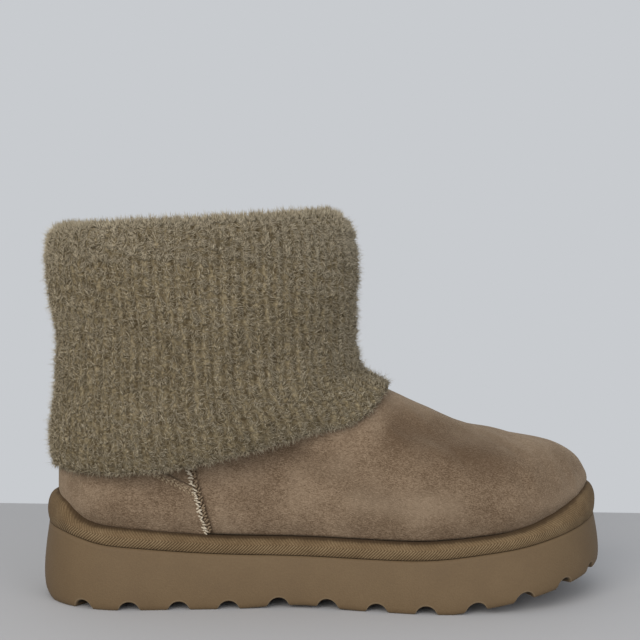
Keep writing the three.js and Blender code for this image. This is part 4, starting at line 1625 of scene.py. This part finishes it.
@dataclass
class Cuff:
    """The folded cuff: brushed rib knit round the shaft, under a thick layer of loose wool fluff."""

    fluff_depth: float = 1.1
    rib_pitch: float = 5.0
    columns_per_rib: int = 7
    rows: int = 76
    fibres: int = 34000
    loop_pitch: float = 3.7
    loose_share: float = 0.22
    rim_drop: float = 2.2
    hem_curl: float = 0.42
    leaf_top: float = 2.6
    tuft_size: float = 6.5
    lock_size: float = 3.2
    root_depth: float = 0.15
    lengths: tuple[float, float] = (1.8, 3.8)
    widths: tuple[float, float] = (0.34, 0.58)
    loose_lengths: tuple[float, float] = (3.6, 6.0)
    loose_width: float = 0.22
    middle_x: float = -60.0
    mean_radius: float = 55.0
    hem_fibres: int = 11000
    rim_fibres: int = 15000
    mouth_fibres: int = 10000

    def angles(self) -> tuple[Array, Array]:
        """Angles of the columns, a whole number to each rib, and the phase of the rib at each.

        Returns:
            The angles and the phases.
        """
        _, length = ring_angles(lambda a: FORM.cuff(4.0, a), 8)
        ribs = round(length / self.rib_pitch)
        angle, _ = ring_angles(lambda a: FORM.cuff(4.0, a), ribs * self.columns_per_rib)
        return angle, np.arange(len(angle)) * TAU / self.columns_per_rib

    def hem_level(self, angle: Array) -> Array:
        """The level where the leaf starts: a little above the hem line over the throat, where it curls up."""
        return self.hem_curl * smooth(FORM.cuff(0.0, angle)[:, 0], 16, 31)

    def outside(self, angle: Array, phase: Array) -> tuple[Array, Array]:
        """The knit under the fluff: the cuff's form sunk by the fluff's depth, with ribs and soft tufts.

        Args:
            angle: angles of the columns.
            phase: phase of the rib at each.

        Returns:
            The rings from the hem up, and the ribs' wave, -1 to 1.
        """
        level = np.linspace(0, FORM.CUFF_RINGS.last, self.rows)[:, None] * np.ones(angle.shape)
        edge = 1 - smooth(level, 0, 0.5)
        level = level + self.hem_level(angle) * np.clip(1 - level / 2, 0, 1)
        form = FORM.cuff(level, angle)
        low = int(np.sum(level[:, 0] < self.leaf_top))
        form[:low] = FORM.off_vamp(form[:low])
        normal = grid_normals(form)
        x, y, z = np.moveaxis(form, -1, 0)
        ribs = np.cos(phase + 0.9 * waves(x + y, z, 45, 71))
        relief = 0.5 * ribs + 0.4 * waves(x + y, z, 4.5, 72) + 0.5 * waves(x + y, z, 28, 73)
        relief -= self.fluff_depth + 0.9 * edge
        relief += smooth(x, 6, 22) * 1.2 * bump(level - self.leaf_top, 0.9)
        relief = np.maximum(relief, -1.7 - 0.3 * edge)
        sunk = self.rim_drop * smooth(level, 7.0, 8.6) * mix(1.25, 0.75, smooth(x, -140, 10))
        return form + normal * relief[..., None] - np.stack([0 * x, 0 * x, sunk], axis=-1), ribs

    def inside(self, angle: Array, rim: Array) -> Array:
        """Rings over the rim, down the shaft's mouth, and back down between shaft and cuff to the hem.

        Args:
            angle: angles of the columns.
            rim: the last ring of the outside.

        Returns:
            The rings (rows, columns, 3).
        """
        top = FORM.UPPER_RINGS.last
        shaft, normal = FORM.upper(top, angle), FORM.upper_normal(top, angle)
        mouth = shaft - normal * (FORM.WALL - 0.5)
        rings = []
        for share in (0.25, 0.5, 0.75):
            ring = mix(rim, mouth, share)
            ring[:, 2] = rim[:, 2] + 1.5 * math.sin(math.pi * share) - 1.0 * share
            rings.append(ring)
        for share in np.linspace(0, 1, 14):
            ring = mouth.copy()
            ring[:, 2] = mix(rim[:, 2] - 1.6, shaft[:, 2] + 1.2, share)
            ring += normal * (0.5 * waves(ring[:, 0] + ring[:, 1], ring[:, 2], 6, 74))[:, None]
            rings.append(ring)
        over = shaft + normal * FORM.CUFF_CLEAR
        over[:, 2] = shaft[:, 2] + 1.2
        rings.append(over)
        hem = FORM.off_vamp(FORM.cuff(self.hem_level(angle), angle)[None])[0]
        scale = np.linspace(0, top, 500)[:, None] * np.ones(angle.shape)
        found = np.linalg.norm(FORM.upper(scale, angle) - hem, axis=-1).argmin(axis=0)
        low = scale[:, 0][found]
        for share in np.linspace(0, 1, 16):
            rings.append(FORM.off_upper(mix(top - 0.15, low, share), angle, FORM.CUFF_CLEAR))
        return np.stack(rings)

    def build(self) -> None:
        """Makes the knit and all its fluff."""
        angle, phase = self.angles()
        outer, ribs = self.outside(angle, phase)
        inner = self.inside(angle, outer[-1])
        # Painted shade in the furrows between the ribs.
        furrows = np.concatenate([0.6 * smooth(-ribs, 0.0, 0.9), np.zeros(inner.shape[:2])])
        piece = ring_object("cuff_knit", np.concatenate([outer, inner]), marks={"shade": furrows})
        hand_over(piece, Knit().make(), Slot.KNIT, "cuff")
        # Its second colour is painted shade at the fibres' roots.
        fluff = Fluff("loose wool fluff", "#463b2a", "#746950", "#cfc4ab").make()
        self.build_fluff(outer, ribs, phase, fluff)
        self.build_edges(outer, inner, phase, fluff)

    def holes(self, spots: dict[str, Array], phase: Array) -> Array:
        """How deep places lie in the holes between loops: the furrow's wave times one wave to each loop.

        Args:
            spots: places on the outside, as sprinkle gives them.
            phase: phase of the rib at each column.

        Returns:
            0 on the ribs to 1 in the middle of a hole.
        """
        turn = phase[spots["column"].astype(int)] + TAU / self.columns_per_rib * (spots["column"] % 1)
        rib = np.floor(spots["column"] / self.columns_per_rib)
        loop = spots["points"][:, 2] / self.loop_pitch + rib * 0.37
        return smooth(-np.cos(turn), -0.1, 0.75) * mix(0.15, 1.0, smooth(np.sin(loop * TAU), -0.4, 0.4))

    def build_fluff(self, outer: Array, ribs: Array, phase: Array, finish: bpy.types.Material) -> None:
        """Makes the fluff on the outside in three bands.

        Fibres near each other lean alike: their direction turns with soft waves one tuft long, so they
        gather in tufts with dark gaps between. They lie flatter in the furrows, and few grow in the holes
        between the knit's loops. Their tone is paler on the ribs and darker in the holes, as painted
        light and shade, and paler towards the rim, as painted light from above. Some are loose: longer,
        thinner, paler and more upright.

        Args:
            outer: the rings of the outside.
            ribs: the ribs' wave.
            phase: phase of the rib at each column.
            finish: the fibres' material.
        """
        rows = outer.shape[0]
        bands = ((0, rows // 3 + 1), (rows // 3, 2 * rows // 3 + 1), (2 * rows // 3, rows))
        for number, (first, last) in enumerate(bands):
            rng = np.random.default_rng(80 + number)
            spots = sprinkle(outer[first:last], np.ones((last - first, outer.shape[1])), self.fibres, rng)
            hole = self.holes(spots, phase)
            kept = rng.random(self.fibres) > 0.95 * hole
            place, normal, up, hole = (part[kept] for part in (
                spots["points"], spots["normals"], spots["up"], hole))
            along = unit(np.cross(up, normal))
            flat = np.arctan2(place[:, 1], place[:, 0] - self.middle_x) * self.mean_radius
            swirl = 2.6 * waves(flat, place[:, 2], self.tuft_size, 75) + rng.normal(0, 0.8, len(place))
            crest = ribs[spots["row"][kept].astype(int) + first, spots["column"][kept].astype(int)]
            stand = np.clip(rng.normal(0.62, 0.25, len(place)) + 0.15 * crest, 0.12, 1.3)
            lean = along * np.cos(swirl)[:, None] + up * np.sin(swirl)[:, None]
            lean = lean + normal * stand[:, None]
            lock = waves(flat, place[:, 2], self.lock_size, 76)
            # Painted light and shade: paler on the rib crests and darker in the holes between loops; the
            # locks and waves vary at random.
            tone = 0.49 + 0.07 * crest + 0.16 * lock - 0.4 * hole
            tone = tone + 0.08 * waves(flat, place[:, 2], 40, 77) + rng.normal(0, 0.26, len(place))
            # Painted light: paler towards the rim, where the light from above falls.
            tone = tone + 0.16 * smooth(place[:, 2], 112, 176)
            loose = rng.random(len(place)) < self.loose_share
            tone = tone + 0.15 * loose
            length = np.where(loose, rng.uniform(*self.loose_lengths, len(place)),
                              rng.uniform(*self.lengths, len(place)))
            length = length * mix(1.0, 0.5, hole)
            width = np.where(loose, self.loose_width, rng.uniform(*self.widths, len(place)))
            lean = lean + normal * np.where(loose, 0.5, 0.0)[:, None]
            roots = place - normal * self.root_depth
            built = Fibres(90 + number, roots, lean, length, width, np.clip(tone, 0, 1))
            piece = built.build(f"cuff_fluff_{('low', 'middle', 'high')[number]}")
            hand_over(piece, finish, Slot.KNIT)

    def build_edges(self, outer: Array, inner: Array, phase: Array, finish: bpy.types.Material) -> None:
        """Makes the fringe that hangs at the hem, the tufts on the rim and the pile inside the mouth.

        Args:
            outer: the rings of the outside.
            inner: the rings of the inside.
            phase: phase of the rib at each column.
            finish: the fibres' material.
        """
        rng = np.random.default_rng(95)
        count = self.hem_fibres
        edge = np.stack([outer[3], outer[1], outer[0], inner[-1]])
        hem = sprinkle(edge, np.ones(edge.shape[:2]), count, rng)
        lean = [0, 0, -1.0] * rng.uniform(0.25, 1.2, (count, 1)) + hem["normals"] * [1, 1, 0.2] * 0.75
        lean = lean + rng.normal(0, 0.45, (count, 3))
        self.fringe("cuff_fluff_hem", 96, hem["points"], lean, rng.uniform(1.8, 4.4, count), finish, rng)
        count = self.rim_fibres
        top = np.concatenate([outer[-9:], inner[:3]])
        rim = sprinkle(top, np.ones(top.shape[:2]), count, rng)
        tuft = 0.5 + 0.5 * np.cos(phase[rim["column"].astype(int)] + 0.6)
        lean = rim["normals"] + [0, 0, 0.6] + rng.normal(0, 0.36, (count, 3))
        length = rng.uniform(2.0, 4.6, count) * mix(0.4, 1.2, tuft ** 1.5)
        self.fringe("cuff_fluff_rim", 97, rim["points"], lean, length, finish, rng)
        count = self.mouth_fibres
        mouth = sprinkle(inner[2:18], np.ones(inner[2:18].shape[:2]), count, rng)
        lean = mouth["normals"] + rng.normal(0, 0.6, (count, 3))
        self.fringe("cuff_fluff_mouth", 98, mouth["points"], lean, rng.uniform(1.6, 3.2, count), finish, rng)

    def fringe(self, name: str, seed: int, roots: Array, leans: Array, lengths: Array,
               finish: bpy.types.Material, rng: np.random.Generator) -> None:
        """Makes one mesh of fringe fibres with random widths and tones.

        Args:
            name: the piece's name.
            seed: picks the fibres' corners.
            roots: where they grow.
            leans: which way.
            lengths: how long.
            finish: their material.
            rng: the random numbers.
        """
        count = len(roots)
        tones = np.clip(rng.normal(0.5, 0.25, count), 0, 1)
        piece = Fibres(seed, roots, leans, lengths, rng.uniform(0.3, 0.55, count), tones).build(name)
        hand_over(piece, finish, Slot.KNIT)


# ---- Studio -------------------------------------------------------------------------------------------


@dataclass
class Studio:
    """A pale floor in front of a pale room, soft daylight from the upper left and the camera."""

    eye: tuple[float, float, float] = (-1.5, -700.0, 179.5)
    tilt: float = 3.63
    lens: float = 79.6
    back_edge: float = 206.0
    edge_turn: float = 4.6
    floor_reach: float = 2600.0

    def build(self) -> None:
        """Makes floor, world, lights and camera."""
        scene = bpy.context.scene
        scene.view_settings.view_transform = "Standard"
        turn = math.radians(-self.edge_turn)
        way, away = np.array([math.cos(turn), math.sin(turn)]), np.array([-math.sin(turn), math.cos(turn)])
        reach = self.floor_reach
        outline = [away * side_y + way * side_x for side_x, side_y in (
            (-reach, -reach), (reach, -reach), (reach, self.back_edge), (-reach, self.back_edge))]
        points = np.array([[*corner, 0.0] for corner in outline])
        floor = mesh_object("studio_floor", points, [np.array([[0, 1, 2, 3]])])
        made = bpy.data.materials.new("painted board")
        made.use_nodes = True
        shader = made.node_tree.nodes["Principled BSDF"]
        shader.inputs["Base Color"].default_value = linear("#b0b0b1")
        shader.inputs["Roughness"].default_value = 0.75
        shader.inputs["Specular IOR Level"].default_value = 0.3
        floor.data.materials.append(made)
        world = bpy.data.worlds.new("pale room")
        world.use_nodes = True
        world.node_tree.nodes["Background"].inputs[0].default_value = linear("#c8cbcf")
        scene.world = world
        self.light("window", (-430, -1120, 640), 1000, 14.5, "#fffaf4")
        self.light("reflector", (700, -900, 380), 700, 4.0, "#f6f8ff")
        camera = bpy.data.cameras.new("camera")
        camera.lens, camera.sensor_width, camera.sensor_fit = self.lens, 36.0, "HORIZONTAL"
        holder = bpy.data.objects.new("camera", camera)
        holder.location = [value * MM for value in self.eye]
        holder.rotation_euler = (math.radians(90 - self.tilt), 0, 0)
        scene.collection.objects.link(holder)
        scene.camera = holder

    def light(self, name: str, place: tuple[float, float, float], size: float, power: float,
              colour: str) -> None:
        """Adds a square soft light that looks at the boot's middle.

        Args:
            name: the light's name.
            place: where it stands, in millimetres.
            size: its breadth, in millimetres.
            power: its power, in watts.
            colour: its sRGB hex colour.
        """
        lamp = bpy.data.lights.new(name, "AREA")
        lamp.size, lamp.energy, lamp.color = size * MM, power, linear(colour)[:3]
        holder = bpy.data.objects.new(name, lamp)
        x, y, z = place
        holder.location = (x * MM, y * MM, z * MM)
        target = np.array([0, 0, 80]) - place
        flat = math.hypot(target[0], target[1])
        holder.rotation_euler = (math.atan2(flat, -target[2]), 0, math.atan2(-target[0], target[1]))
        bpy.context.scene.collection.objects.link(holder)


def corners(bounds: Any) -> list[list[float]]:
    """A box as two plain lists of numbers."""
    return [[float(value) for value in corner] for corner in bounds]


def main() -> None:
    """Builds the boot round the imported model."""
    logging.basicConfig(level=logging.INFO, format="%(message)s")
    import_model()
    Studio().build()
    for piece in (Outsole(), Midsole(), Insole(), Upper(), HeelCounter(), SideSeams(), Cuff()):
        piece.build()


if __name__ == "__main__":
    main()
